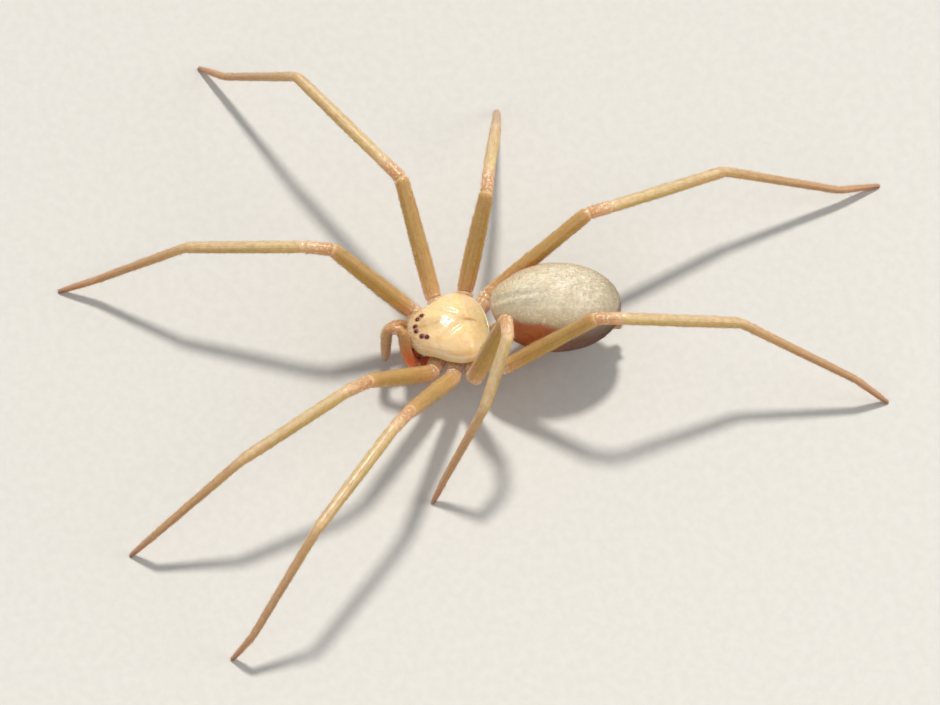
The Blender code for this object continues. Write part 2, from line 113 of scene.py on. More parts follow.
def setCamera():
    elevation, turn = math.radians(stageLook["elevation"]), math.radians(stageLook["turn"])
    right = Vector((math.sin(turn), math.cos(turn), 0))
    flat = math.cos(elevation)
    back = Vector((math.cos(turn) * flat, -math.sin(turn) * flat, math.sin(elevation)))
    turnTo = Matrix((right, back.cross(right), back)).transposed().to_4x4()
    spot = Vector(onBody(*stageLook["aim"])) + back * stageLook["distance"]
    bpy.ops.object.camera_add()
    camera = bpy.context.object
    camera.matrix_world = Matrix.Translation(spot) @ turnTo
    camera.data.sensor_width = stageLook["sensor"]
    camera.data.lens = stageLook["lens"]
    camera.data.clip_start, camera.data.clip_end = stageLook["clip"]
    bpy.context.scene.camera = camera


def addLight(kind, place, strength):
    turnTo = Vector(place).to_track_quat("Z", "Y").to_euler()
    bpy.ops.object.light_add(type=kind, location=place, rotation=turnTo)
    light = bpy.context.object.data
    light.energy = strength
    return light


def setStage():
    setCamera()
    bpy.ops.mesh.primitive_plane_add(size=stageLook["floorSize"])
    floor = bpy.context.object
    floor.name = "floor"
    floor.data.materials.append(floorPaper())

    key = addLight("SUN", stageLook["keyFrom"], stageLook["keyStrength"])
    key.angle = math.radians(stageLook["keyAngle"])
    key.color = stageLook["keyColour"]
    for place, strength in stageLook["fills"]:
        addLight("AREA", place, strength).size = stageLook["fillSize"]
    sky = bpy.data.worlds.new("studioSky")
    bpy.context.scene.world = sky
    sky.use_nodes = True
    light = {"Color": stageLook["skyColour"], "Strength": stageLook["skyStrength"]}
    setInputs(sky.node_tree, sky.node_tree.nodes["Background"], light)
    bpy.context.scene.view_settings.view_transform = "Standard"
    print("stage set")


# Node helpers
def newMaterial(name):
    material = bpy.data.materials.new(name)
    material.use_nodes = True
    return material, material.node_tree, material.node_tree.nodes["Principled BSDF"]


def setInputs(tree, node, values):
    # a value is a number, a colour, another node's output or the name of a value on the mesh
    for key, value in values.items():
        if isinstance(value, str):
            value = addNode(tree, "ShaderNodeAttribute", attribute_name=value).outputs["Fac"]
        if isinstance(value, bpy.types.NodeSocket):
            tree.links.new(value, node.inputs[key])
        else:
            node.inputs[key].default_value = value


def addNode(tree, kind, inputs={}, **settings):
    node = tree.nodes.new(kind)
    for key, value in settings.items():
        setattr(node, key, value)
    setInputs(tree, node, inputs)
    return node


def newGroup(name, inputs, outputs):
    group = bpy.data.node_groups.new(name, "ShaderNodeTree")
    for way, sockets in (("INPUT", inputs), ("OUTPUT", outputs)):
        for socket in sockets:
            kind = "NodeSocketColor" if socket == "Color" else "NodeSocketFloat"
            group.interface.new_socket(socket, in_out=way, socket_type=kind)
    return group, addNode(group, "NodeGroupInput").outputs, addNode(group, "NodeGroupOutput")


def useGroup(tree, key, inputs):
    return addNode(tree, "ShaderNodeGroup", inputs, node_tree=groups[key]).outputs


def calculate(tree, operation, first, second, clamp=False):
    inputs = {0: first, 1: second}
    return addNode(tree, "ShaderNodeMath", inputs, operation=operation, use_clamp=clamp).outputs[0]


def mixColour(tree, factor, first, second):
    return addNode(tree, "ShaderNodeMix", {0: factor, 6: first, 7: second}, data_type="RGBA").outputs[2]


def rangeOf(tree, value, low, high, toLow=0.0, toHigh=1.0):
    inputs = {"Value": value, "From Min": low, "From Max": high, "To Min": toLow, "To Max": toHigh}
    node = addNode(tree, "ShaderNodeMapRange", inputs, clamp=True, interpolation_type="SMOOTHSTEP")
    return node.outputs["Result"]


def noiseOf(tree, scale, detail):
    where = addNode(tree, "ShaderNodeTexCoord").outputs["Object"]
    inputs = {"Vector": where, "Scale": scale, "Detail": detail, "Roughness": 0.55}
    return addNode(tree, "ShaderNodeTexNoise", inputs).outputs["Fac"]


def layered(tree, colour, layers, known={}):
    # each layer is the source of its mask, the range that is read from it, and a screen colour;
    # a source is a known node's output, a value on the mesh, or a noise's scale and detail
    for source, span, shade in layers:
        if isinstance(source, tuple):
            source = noiseOf(tree, *source)
        elif source in known:
            source = known[source]
        mask = rangeOf(tree, source, *span) if span else source
        colour = mixColour(tree, mask, colour, tint(*shade))
    return colour


def grainGroup():
    # fine skin: a mottle for the colour and a height for the bump
    group, start, end = newGroup("skinGrain", ["Scale"], ["Mottle", "Height"])
    where = addNode(group, "ShaderNodeTexCoord").outputs["Object"]
    inputs = {"Vector": where, "Scale": start["Scale"], "Detail": 4}
    coarse = addNode(group, "ShaderNodeTexNoise", inputs).outputs["Fac"]
    inputs = {"Vector": where, "Scale": calculate(group, "MULTIPLY", start["Scale"], 5.0)}
    fine = addNode(group, "ShaderNodeTexVoronoi", inputs, feature="SMOOTH_F1").outputs["Distance"]
    setInputs(group, end, {"Mottle": coarse, "Height": calculate(group, "ADD", coarse, fine)})
    return group


def finishSkin(tree, shader, grain, bump, translucent, bleed=0.4):
    inputs = {"Strength": 0.6, "Distance": bump * mm, "Height": grain["Height"]}
    setInputs(tree, shader, {
        "Normal": addNode(tree, "ShaderNodeBump", inputs).outputs["Normal"],
        "Subsurface Weight": translucent,
        "Subsurface Scale": bleed * mm,
        "Subsurface Radius": (1.0, 0.55, 0.25),
    })


def baseColour(tree, base, inputs):
    return useGroup(tree, base, inputs)["Color"] if base in groups else tint(*base)


def makeSkin(name, grain, base, layers, rough, bump, translucent, bleed=0.4, shine={}):
    material, tree, shader = newMaterial(name)
    grain = useGroup(tree, "grain", {"Scale": grain})
    colour = layered(tree, baseColour(tree, base, {"Mottle": grain["Mottle"]}), layers, grain)
    rough = rangeOf(tree, grain["Mottle"], 0.3, 0.7, *rough)
    setInputs(tree, shader, {"Base Color": colour, "Roughness": rough, **shine})
    finishSkin(tree, shader, grain, bump, translucent, bleed)
    return material


def makeHairSkin(name, base, layers, rough, inputs={}, shine={}):
    material, tree, shader = newMaterial(name)
    colour = layered(tree, baseColour(tree, base, inputs), layers)
    rough = rangeOf(tree, "hairShade", 0, 1, *rough)
    setInputs(tree, shader, {"Base Color": colour, "Roughness": rough, **shine})
    return material


def floorPaper():
    material, tree, shader = newMaterial("floorPaper")
    pale, paler = stageLook["floorColours"]
    colour = layered(tree, tint(*pale), [((2500, 3), (0.3, 0.7), paler)])
    setInputs(tree, shader, {"Base Color": colour, "Roughness": 0.9})
    return material


# Colours of legs and feelers; layers are (mask, range, screen colour)
limbLook = {
    "stops": (  # from the hip at 0 to the tip at 1
        (0.0, (238, 188, 144)), (0.11, (246, 206, 170)), (0.165, (246, 204, 164)), (0.185, (230, 180, 106)),
        (0.215, (206, 162, 66)), (0.27, (194, 154, 50)), (0.315, (196, 152, 58)), (0.335, (214, 160, 90)),
        (0.36, (226, 162, 104)), (0.43, (230, 174, 114)), (0.49, (232, 190, 130)), (0.52, (218, 188, 102)),
        (0.58, (210, 180, 98)), (0.65, (212, 176, 104)), (0.69, (206, 166, 100)), (0.76, (190, 146, 90)),
        (0.825, (184, 138, 86)), (0.86, (190, 140, 94)), (0.95, (178, 120, 82)), (1.0, (124, 72, 50)),
    ),
    # painted shade: the underside more golden
    "below": (("Top", (-0.8, 0.45, 0.6, 0.0), (190, 138, 36)),),
    # painted sheen: a paler, greyer copy of the colour over the upper side, paler again over the knees and
    # tibiae
    "sheenTopColour": (190, 158, 108),
    "sheenByPlace": (("Place", (0.34, 0.54), (222, 204, 176)), ("Place", (0.65, 0.7), (198, 168, 132))),
    "sheenRange": (0.4, 0.95, 0.0, 0.55),
    "marks": (("Streak", (), (146, 110, 58)), ("Mottle", (0.38, 0.7, 0.0, 0.3), (172, 120, 62)),
              ("Fold", (), (248, 226, 188))),
    "streaks": (("X", "Top", 4.2), ("Y", "Side", 4.2), ("Z", "Place", 5.0)),  # stretched along the limb
    "paintedGlintBands": ((0.08, 0.11, 0.17, 0.19), (0.325, 0.35, 0.44, 0.52)),  # painted glints on the hips and the knees
    # pale spots painted as glints
    "paintedGlint": (("PaintedGlint", (), (255, 240, 222)),),
    "feeler": (188, 136, 80),
    "feelerRoot": (236, 102, 26),
    "shine": {"Sheen Weight": 0.35, "Sheen Roughness": 0.45, "Sheen Tint": (1.0, 0.86, 0.78, 1.0)},
}


def limbGroup():
    # colour along a limb, with painted sheen making the top greyer and painted shade making the underside golden
    look = limbLook
    group, start, end = newGroup("limbColours", ["Place", "Top", "Mottle", "Fold", "Streak"], ["Color"])
    ramp = addNode(group, "ShaderNodeValToRGB", {"Fac": start["Place"]})
    ramp.color_ramp.interpolation = "EASE"
    for spot, shade in look["stops"][1:-1]:
        ramp.color_ramp.elements.new(spot)
    for mark, (spot, shade) in zip(ramp.color_ramp.elements, look["stops"]):
        mark.color = tint(*shade)
    colour = layered(group, ramp.outputs["Color"], look["below"], start)
    sheenCopy = layered(group, tint(*look["sheenTopColour"]), look["sheenByPlace"], start)
    colour = mixColour(group, rangeOf(group, start["Top"], *look["sheenRange"]), colour, sheenCopy)
    setInputs(group, end, {"Color": layered(group, colour, look["marks"], start)})
    return group


def limbDetailGroup():
    # lengthwise streaks, small painted glints and the roughness
    look, inputs = limbLook, ["Place", "Top", "Side", "Mottle", "Fold"]
    group, start, end = newGroup("limbDetail", inputs, ["Streak", "PaintedGlint", "Roughness"])
    place = start["Place"]
    scaled = {axis: calculate(group, "MULTIPLY", start[key], times) for axis, key, times in look["streaks"]}
    inputs = {"Vector": addNode(group, "ShaderNodeCombineXYZ", scaled).outputs[0], "Scale": 1.6, "Detail": 3}
    streaks = addNode(group, "ShaderNodeTexNoise", inputs).outputs["Fac"]
    bands = [calculate(group, "MULTIPLY", rangeOf(group, place, a, b), rangeOf(group, place, c, d, 1.0, 0.0))
             for a, b, c, d in look["paintedGlintBands"]]
    spots = rangeOf(group, noiseOf(group, 7500, 2), 0.54, 0.66, 0.0, 0.55)
    rough = rangeOf(group, start["Mottle"], 0.3, 0.7, 0.3, 0.44)
    rough = calculate(group, "SUBTRACT", rough, rangeOf(group, start["Fold"], 0.2, 1.0, 0.0, 0.2), True)
    setInputs(group, end, {
        "Streak": rangeOf(group, streaks, 0.46, 0.7, 0.0, 0.38),
        "PaintedGlint": calculate(group, "MULTIPLY", spots, calculate(group, "ADD", *bands, True)),
        "Roughness": calculate(group, "SUBTRACT", rough, rangeOf(group, place, 0.16, 0.2, 0.18, 0.0), True),
    })
    return group


def limbSkin(name, redEnd=0.0):
    material, tree, shader = newMaterial(name)
    grain = useGroup(tree, "grain", {"Scale": 4200})
    inputs = {"Place": "limbPlace", "Top": "limbTop", "Mottle": grain["Mottle"]}
    detail = useGroup(tree, "limbDetail", {**inputs, "Side": "limbSide", "Fold": "limbFold"})
    folds = rangeOf(tree, "limbFold", 0.35, 1.0, 0.0, 0.4)
    colour = useGroup(tree, "limb", {**inputs, "Fold": folds, "Streak": detail["Streak"]})["Color"]
    if redEnd:  # the feelers are browner, and red up to this place
        colour = layered(tree, colour, (
            ("limbPlace", (0.1, 0.2, 0.0, 0.85), limbLook["feeler"]),
            ("limbPlace", (redEnd - 0.1, redEnd, 0.9, 0.0), limbLook["feelerRoot"])))
    # pale spots painted as glints on the hips and knees
    colour = layered(tree, colour, limbLook["paintedGlint"], detail)
    setInputs(tree, shader, {"Base Color": colour, "Roughness": detail["Roughness"], **limbLook["shine"]})
    finishSkin(tree, shader, grain, 0.009, 0.5)
    return material


# Colours of the other skins, of the hair and of the eyes
abdomenLook = {
    "base": (236, 226, 202),
    "layers": (
        ("Mottle", (0.36, 0.66), (222, 210, 182)),
        ((3200, 2), (0.4, 0.65, 0.0, 0.3), (196, 180, 144)),
        # painted shade: the sides darker down to a line, the belly dark brown and the lower front flanks orange
        # brown
        ("paintedSideShade", (), (202, 176, 130)),
        ((6500, 2), (0.56, 0.66, 0.0, 0.45), (248, 240, 218)),
        ((11000, 1), (0.68, 0.74, 0.0, 0.7), (255, 250, 234)),
        ("paintedBellyShade", (), (108, 56, 32)),
        ("paintedFlankShade", (), (206, 118, 56)),
        ("heartDark", (), (166, 158, 134)),
        ("heartPale", (), (244, 236, 212)),
    ),
}
skinLooks = {
    "shield": dict(
        name="shieldSkin", grain=2600, base=(243, 212, 166), rough=(0.26, 0.38), bump=0.006,
        translucent=0.85, bleed=1.0, shine={"Coat Weight": 0.5, "Coat Roughness": 0.1},
        layers=(
            ("Mottle", (0.3, 0.7), (241, 207, 150)),
            ("shieldMark", (), (196, 172, 116)),
            # painted light: the front paler, reaching further back on the left side
            ("paintedShieldFrontLight", (), (255, 212, 166)),
            ("shieldEdge", (), (238, 196, 132)),
            # painted light: the steep sides near the margin paler and warmer
            ("paintedShieldSideLight", (), (255, 218, 162)),
            ("shieldRim", (), (254, 236, 216)),
            ("eyeStain", (), (128, 58, 34)),
        )),
    "abdomen": dict(
        name="abdomenSkin", grain=1500, base="abdomen", layers=(), rough=(0.5, 0.68), bump=0.014,
        translucent=0.5, bleed=0.8, shine={"Sheen Weight": 0.15, "Sheen Roughness": 0.5}),
}
hairLooks = {
    "limbHair": dict(
        # the limb's colours, with their painted sheen on top and painted shade below
        base="limb", inputs={"Place": "limbPlace", "Top": "limbTop", "Mottle": 0.3}, rough=(0.35, 0.5),
        layers=(("hairShade", (0.0, 0.7, 0.65, 0.2), (242, 214, 184)),
                ("hairShade", (0.75, 1.0, 0.0, 0.4), (150, 102, 60)))),
    "abdomenHair": dict(
        base="abdomen", inputs={"Mottle": "hairShade"}, rough=(0.4, 0.6), shine={"Specular IOR Level": 0.35},
        layers=(("hairShade", (0.2, 1, 0.55, 0.1), (252, 246, 228)),
                # painted shade on the belly and the lower flanks, as on the skin
                ("paintedBellyShade", (0, 1, 0, 0.85), (118, 66, 42)),
                ("paintedFlankShade", (0, 1, 0, 0.85), (204, 118, 58)))),
    "dustyHair": dict(
        base=(214, 170, 112), layers=[("hairShade", (0, 1), (120, 78, 44))], rough=(0.35, 0.55)),
    "paleHair": dict(
        base=(248, 222, 172), layers=[("hairShade", (0, 1), (214, 168, 108))], rough=(0.35, 0.55)),
}
shellLooks = {  # name, light and dark colour, roughness, grain, translucency
    "jaw": ("jawShell", (206, 104, 44), (168, 70, 28), 0.28, 5200, 0.2),
    "plate": ("plateShell", (222, 166, 100), (204, 140, 80), 0.34, 3600, 0.25),
    "membrane": ("jointMembrane", (240, 208, 164), (222, 182, 132), 0.5, 6000, 0.35),
    "fang": ("fangShell", (70, 24, 12), (28, 9, 5), 0.16, 9000, 0.0),
    "spinneret": ("spinneretSkin", (206, 176, 122), (176, 142, 94), 0.45, 6000, 0.25),
}
eyeLook = {"base": (62, 22, 12), "layers": [((9000, 3), (0.35, 0.7), (116, 50, 28))], "rough": (0.14, 0.2)}


def abdomenGroup():
    # the back's colours and heart mark, with painted shade on the sides, flanks and belly
    group, start, end = newGroup("abdomenColours", ["Mottle"], ["Color"])
    colour = layered(group, tint(*abdomenLook["base"]), abdomenLook["layers"], start)
    setInputs(group, end, {"Color": colour})
    return group


def eyeGlass():
    material, tree, shader = newMaterial("eyeGlass")
    colour = layered(tree, tint(*eyeLook["base"]), eyeLook["layers"])
    rough = rangeOf(tree, noiseOf(tree, 6000, 3), 0.3, 0.7, *eyeLook["rough"])
    setInputs(tree, shader, {"Base Color": colour, "Roughness": rough, "Specular IOR Level": 0.42})
    return material


groups = {}
groups.update(grain=grainGroup(), limb=limbGroup(), limbDetail=limbDetailGroup(), abdomen=abdomenGroup())
looks = {
    "limb": limbSkin("limbSkin"),
    "feeler_left": limbSkin("feelerSkinLeft", 0.3),
    "feeler_right": limbSkin("feelerSkinRight", 0.22),
    "eye": eyeGlass(),
}
for key, values in skinLooks.items():
    looks[key] = makeSkin(**values)
for key, values in hairLooks.items():
    looks[key] = makeHairSkin(key, **values)
for key, (name, light, dark, rough, grain, translucent) in shellLooks.items():
    layers = [("Mottle", (0.32, 0.68), dark)]
    looks[key] = makeSkin(name, grain, light, layers, (rough, rough + 0.12), 0.008, translucent)
setStage()


# Mesh helpers
def clearSelection():
    if bpy.context.object and bpy.context.object.mode != "OBJECT":
        bpy.ops.object.mode_set(mode="OBJECT")
    bpy.ops.object.select_all(action="DESELECT")


def finishPiece(piece, name, look, replaced=()):
    piece.name = name
    piece.data.name = name
    piece.data.materials.clear()
    piece.data.materials.append(looks[look])
    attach(piece, "root")
    if replaced:
        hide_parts(*replaced)
    return piece


def fetch(items, key, kind=float, size=1):
    values = np.zeros(len(items) * size, kind)
    items.foreach_get(key, values)
    return values if size == 1 else values.reshape(-1, size)


def placesOf(piece):
    return fetch(piece.data.vertices, "co", size=3)


def setPlaces(piece, places):
    piece.data.vertices.foreach_set("co", np.asarray(places, np.float32).ravel())
    piece.data.update()


def setValues(piece, values):
    for name, value in values.items():
        layer = piece.data.attributes.new(name, "FLOAT", "POINT")
        layer.data.foreach_set("value", np.asarray(value, np.float32))


def valuesOf(piece, name):
    return fetch(piece.data.attributes[name].data, "value")


def closeAndSmooth(piece, merge=False):
    clearSelection()
    piece.select_set(True)
    bpy.context.view_layer.objects.active = piece
    bpy.ops.object.mode_set(mode="EDIT")
    bpy.ops.mesh.select_all(action="SELECT")
    if merge:
        bpy.ops.mesh.remove_doubles(threshold=0.001 * mm)
    bpy.ops.mesh.normals_make_consistent(inside=False)
    bpy.ops.object.mode_set(mode="OBJECT")
    bpy.ops.object.shade_smooth()


def makeTube(points, radii, sides):
    clearSelection()
    bpy.ops.curve.primitive_nurbs_path_add()
    shape = bpy.context.object.data
    shape.splines.clear()
    line = shape.splines.new("POLY")
    line.points.add(len(points) - 1)
    line.points.foreach_set("co", np.c_[points, np.ones(len(points))].astype(np.float32).ravel())
    line.points.foreach_set("radius", (np.asarray(radii) / mm).astype(np.float32))
    shape.bevel_depth = mm
    shape.bevel_resolution = (sides - 4) // 2
    shape.use_fill_caps = True
    bpy.ops.object.convert(target="MESH")
    tube = bpy.context.object
    places = placesOf(tube)
    ends = places[: len(places) - len(points) * sides]  # the caps come first, then ring after ring
    nearLast = np.linalg.norm(ends - points[-1], axis=1) < np.linalg.norm(ends - points[0], axis=1)
    rings = np.repeat(np.arange(len(points)), sides)
    setValues(tube, {"ring": np.r_[np.where(nearLast, len(points) - 1, 0), rings]})
    closeAndSmooth(tube, merge=True)
    return tube


def makeBall(segments, rings, rule):
    # a sphere whose points (ahead, left, up) go where the rule says
    clearSelection()
    bpy.ops.mesh.primitive_uv_sphere_add(segments=segments, ring_count=rings, radius=1)
    ball = bpy.context.object
    unit = placesOf(ball)
    ahead, left, up = -unit[:, 1], unit[:, 0], unit[:, 2]
    setPlaces(ball, rule(ahead, left, up))
    around, over = np.arctan2(left, ahead), np.arcsin(np.clip(up, -1, 1))
    setValues(ball, {"skinU": around / (2 * math.pi) + 0.5, "skinV": over / math.pi + 0.5})
    closeAndSmooth(ball)
    return ball, (ahead, left, up)


def joinAll(pieces):
    clearSelection()
    for piece in pieces:
        piece.select_set(True)
    bpy.context.view_layer.objects.active = pieces[0]
    bpy.ops.object.join()
    return bpy.context.object


def along(values, share):
    # smooth curve through equally spaced values
    values = np.asarray(values, float)
    spot = np.clip(share, 0, 1) * (len(values) - 1)
    i = np.minimum(spot.astype(int), len(values) - 2)
    t = spot - i
    slopeA = (values[i + 1] - values[np.maximum(i - 1, 0)]) / 2
    slopeB = (values[np.minimum(i + 2, len(values) - 1)] - values[i]) / 2
    rise = values[i + 1] - values[i]
    square, cube = 3 * rise - 2 * slopeA - slopeB, slopeA + slopeB - 2 * rise
    return values[i] + slopeA * t + square * t ** 2 + cube * t ** 3


def smoothStep(value, low, high):
    t = np.clip((value - low) / (high - low), 0, 1)
    return t * t * (3 - 2 * t)


def bell(value, width):
    return np.exp(-(value / width) ** 2)


def unitOf(vectors):
    return vectors / np.maximum(np.linalg.norm(vectors, axis=-1, keepdims=True), 1e-12)


def unevenness(places, size, depth):
    # gentle relief over the places, in metres, for a size and depth in millimetres
    scaled = places / (size * mm)
    return np.array([noise.noise(Vector(p)) for p in scaled]) * depth * mm


# Hair: each is a closed three-sided spike with a bend, joined into one mesh for each piece
hairShape = {
    "bendAt": 0.45,
    "bendWidth": 0.75,
    "bendDroop": 0.35,  # share of the rise that is left past the bend
    "rootDepth": 1.5,  # in hair widths
    "patch": 0.0015,
}
hairRing = [(math.cos(a), math.sin(a)) for a in (0, 2 * math.pi / 3, 4 * math.pi / 3)]
hairFaces = [(2, 1, 0)]
for k in range(3):
    n = (k + 1) % 3
    hairFaces += [(k, n, 3 + n), (k, 3 + n, 3 + k), (3 + k, 3 + n, 6)]


def makeHairs(name, look, roots, outward, lean, length, width, rise, unwrap, values):
    h = hairShape
    count = len(roots)
    lean = unitOf(lean - outward * np.sum(lean * outward, axis=1, keepdims=True))
    side = np.cross(outward, lean)
    rise = rise[:, None]
    early = lean * np.cos(rise) + outward * np.sin(rise)
    late = lean * np.cos(rise * h["bendDroop"]) + outward * np.sin(rise * h["bendDroop"])
    across = np.cross(early, side)
    length, width = length[:, None] * mm, width * mm
    middle = roots + early * length * h["bendAt"]
    tip = middle + late * length * (1 - h["bendAt"])
    rings = []
    for centre, thick in ((roots - outward * width * h["rootDepth"], 1.0), (middle, h["bendWidth"])):
        rings += [centre + (side * c + across * s) * width * 0.5 * thick for c, s in hairRing]
    places = np.stack(rings + [tip], axis=1).reshape(-1, 3)
    places[:, 2] = np.maximum(places[:, 2], 0.0)
    faces = (np.arange(count)[:, None, None] * 7 + np.array(hairFaces)).reshape(-1)
    mesh = bpy.data.meshes.new(name)
    mesh.vertices.add(count * 7)
    mesh.vertices.foreach_set("co", places.astype(np.float32).ravel())
    mesh.loops.add(len(faces))
    mesh.loops.foreach_set("vertex_index", faces.astype(np.int32))
    mesh.polygons.add(count * 10)
    mesh.polygons.foreach_set("loop_start", np.arange(0, count * 30, 3, dtype=np.int32))
    mesh.update(calc_edges=True)
    mesh.validate()
    hairs = bpy.data.objects.new(name, mesh)
    bpy.context.scene.collection.objects.link(hairs)
    setValues(hairs, {key: np.repeat(value, 7) for key, value in values.items()})
    patch = np.array([(0, 0), (1, 0), (2, 0), (0, 1), (1, 1), (2, 1), (1, 2)]) * h["patch"] - h["patch"]
    corner = (np.clip(unwrap, 0.002, 0.998)[:, None, :] + patch).reshape(-1, 2)
    layer = mesh.uv_layers.new(name="OFBake")
    layer.data.foreach_set("uv", corner[faces].astype(np.float32).ravel())
    mesh.shade_smooth()
    return finishPiece(hairs, name, look)


def rootsOn(piece, count, dice, weight=None):
    # random places on a skin, with normals and one corner's index for its values
    mesh = piece.data
    area = fetch(mesh.polygons, "area")
    start, total = (fetch(mesh.polygons, key, np.int32) for key in ("loop_start", "loop_total"))
    loops = fetch(mesh.loops, "vertex_index", np.int32)
    places, normals = placesOf(piece), fetch(mesh.vertices, "normal", size=3)
    first = loops[start]
    chance = area * (weight[first] if weight is not None else 1.0)
    chosen = dice.choice(len(area), size=count, p=chance / chance.sum())
    turn = dice.integers(0, 2, count)
    second = loops[start[chosen] + 1 + turn % (total[chosen] - 2)]
    third = loops[start[chosen] + 2 + turn % (total[chosen] - 2)]
    a, b = dice.random(count), dice.random(count)
    over = a + b > 1
    a, b = np.where(over, 1 - a, a)[:, None], np.where(over, 1 - b, b)[:, None]
    corner = first[chosen]
    spots = places[corner] * (1 - a - b) + places[second] * a + places[third] * b
    outward = unitOf(normals[corner] * (1 - a - b) + normals[second] * a + normals[third] * b)
    return spots, outward, corner


def skinSpots(piece, corner):
    return np.c_[valuesOf(piece, "skinU")[corner], valuesOf(piece, "skinV")[corner]]


def leanTo(direction, spread, count, dice):
    return np.tile(direction, (count, 1)) + dice.normal(0, spread, (count, 3))


def makeCoat(name, piece, seed, hairs, weight, direction, spread, unwrap):
    # an even coat of dusty hair on a piece
    count, lengths, rises, width = hairs
    dice = np.random.default_rng(seed)
    roots, outward, corner = rootsOn(piece, count, dice, weight)
    lean = leanTo(direction, spread, count, dice)
    length, rise = dice.uniform(*lengths, count), dice.uniform(*rises, count)
    makeHairs(name, "dustyHair", roots, outward, lean, length, width, rise, unwrap(roots, corner),
              {"hairShade": dice.random(count)})


# Carapace, the shield over head and chest, and the eyes
eyeShape = {
    "radius": 0.1,
    "spacing": 0.23,
    "sink": 0.015,
    "pairs": ((1.72, 0.0, 0.0), (1.45, 0.48, 118.0), (1.45, -0.48, -118.0)),  # forward, left, turn
    "mound": 0.03,
    "moundRadius": 0.13,
    "stain": 0.15,
    "stainSteps": ((0, 1.0), (0.33, 0.6), (0.67, 0.6), (1, 1.0)),  # share of the way, weight
}
shieldTones = {
    "markPlaces": (-1.0, -0.6, 0.0, 0.5, 0.9, 1.3, 1.7),
    "markWidths": (0.02, 0.1, 0.13, 0.22, 0.36, 0.34, 0.2),
    "mark": 0.4,
    "stripe": 0.35,
    "stripeWidth": 0.05,
    # strength of the painted light on the front
    "front": 0.8,
    "edge": 0.4,
    "edgeAt": (0.9, 0.035),
    "rim": 0.75,
    "rimAt": (0.97, 0.022),
    "stain": 0.75,
}


def eyeSpots():
    spots = []
    for forward, left, turn in eyeShape["pairs"]:
        for step in (0.5, -0.5):
            ahead = forward + step * eyeShape["spacing"] * math.sin(math.radians(abs(turn)))
            sign = 1 if left >= 0 else -1
            spots.append((ahead, left + step * eyeShape["spacing"] * math.cos(math.radians(turn)) * sign))
    return spots


def shieldRelief(forward, left, spread):
    s = shieldShape
    ahead = forward - s["foveaAt"]
    pit = np.exp(-(ahead / s["foveaLength"]) ** 2 - (left / s["foveaWidth"]) ** 2)
    wide = np.exp(-(ahead / (1.7 * s["foveaLength"])) ** 2 - (left / (4 * s["foveaWidth"])) ** 2)
    groove = bell(np.abs(left) - s["grooveSpread"] * ahead, s["grooveWidth"])
    groove = groove * np.clip(ahead / s["foveaLength"], 0, 1) * np.exp(-(ahead / 1.7) ** 4)
    relief = -s["foveaDepth"] * pit - s["hollowDepth"] * wide - s["grooveDepth"] * groove
    away = np.degrees(np.arctan2(np.abs(left), ahead))
    shown = smoothStep(np.hypot(left, ahead), 0.15, 0.5) * (1 - smoothStep(spread, 0.75, 0.93))
    for angle in s["furrowAngles"]:
        relief = relief - s["furrowDepth"] * bell(away - angle, s["furrowWidth"]) * shown
    for spotAhead, spotLeft in eyeSpots():
        near = np.hypot(forward - spotAhead, left - spotLeft)
        relief = relief + eyeShape["mound"] * np.exp(-(near / eyeShape["moundRadius"]) ** 4)
    return relief + s["lip"] * smoothStep(spread, 0.955, 0.98) * (1 - smoothStep(spread, 0.98, 1.0))


def shieldAt(ahead, left, up, plain=False):
    s = shieldShape
    angle = np.abs(np.arctan2(left, ahead))
    spread = np.hypot(ahead, left)
    reach = along(s["outline"], angle / math.pi) * spread
    forward, sideways = reach * np.cos(angle), np.copysign(reach * np.sin(angle), left)
    share = (forward + s["outline"][-1]) / (s["outline"][0] + s["outline"][-1])
    blunt = s["bluntBack"] + (s["bluntFront"] - s["bluntBack"]) * share ** 2
    height = along(s["crest"], share) * np.clip(up, 0, None) ** blunt
    if not plain:
        height = height + shieldRelief(forward, sideways, spread) * smoothStep(up, 0.02, 0.25)
    rise = np.where(up > 0, height, -s["belly"] * np.sqrt(np.clip(-up, 0, None)))
    return forward, sideways, s["marginHeight"] + rise


def shieldHeight(forward, left):
    # height of the plain shield, without its relief
    angle = np.arctan2(left, forward)
    spread = np.hypot(forward, left) / along(shieldShape["outline"], np.abs(angle) / math.pi)
    up = np.sqrt(1 - spread ** 2)
    return shieldAt(spread * np.cos(angle), spread * np.sin(angle), up, plain=True)[2]


def shieldPlaces(ahead, left, up):
    places = onBody(*shieldAt(ahead, left, up))
    uneven = sum(unevenness(places, size, depth) for size, depth in shieldShape["uneven"])
    places[:, 2] += uneven * smoothStep(up, 0.1, 0.4)
    return places


def shieldStain(forward, sideways):
    stain = np.zeros(len(forward))
    spots = eyeSpots()
    for (aheadA, leftA), (aheadB, leftB) in zip(spots[::2], spots[1::2]):
        for share, weight in eyeShape["stainSteps"]:
            ahead, left = aheadA + (aheadB - aheadA) * share, leftA + (leftB - leftA) * share
            near = np.hypot(forward - ahead, sideways - left)
            patch = 1 - smoothStep(near, eyeShape["radius"], eyeShape["stain"])
            stain = np.maximum(stain, weight * patch)
    return stain


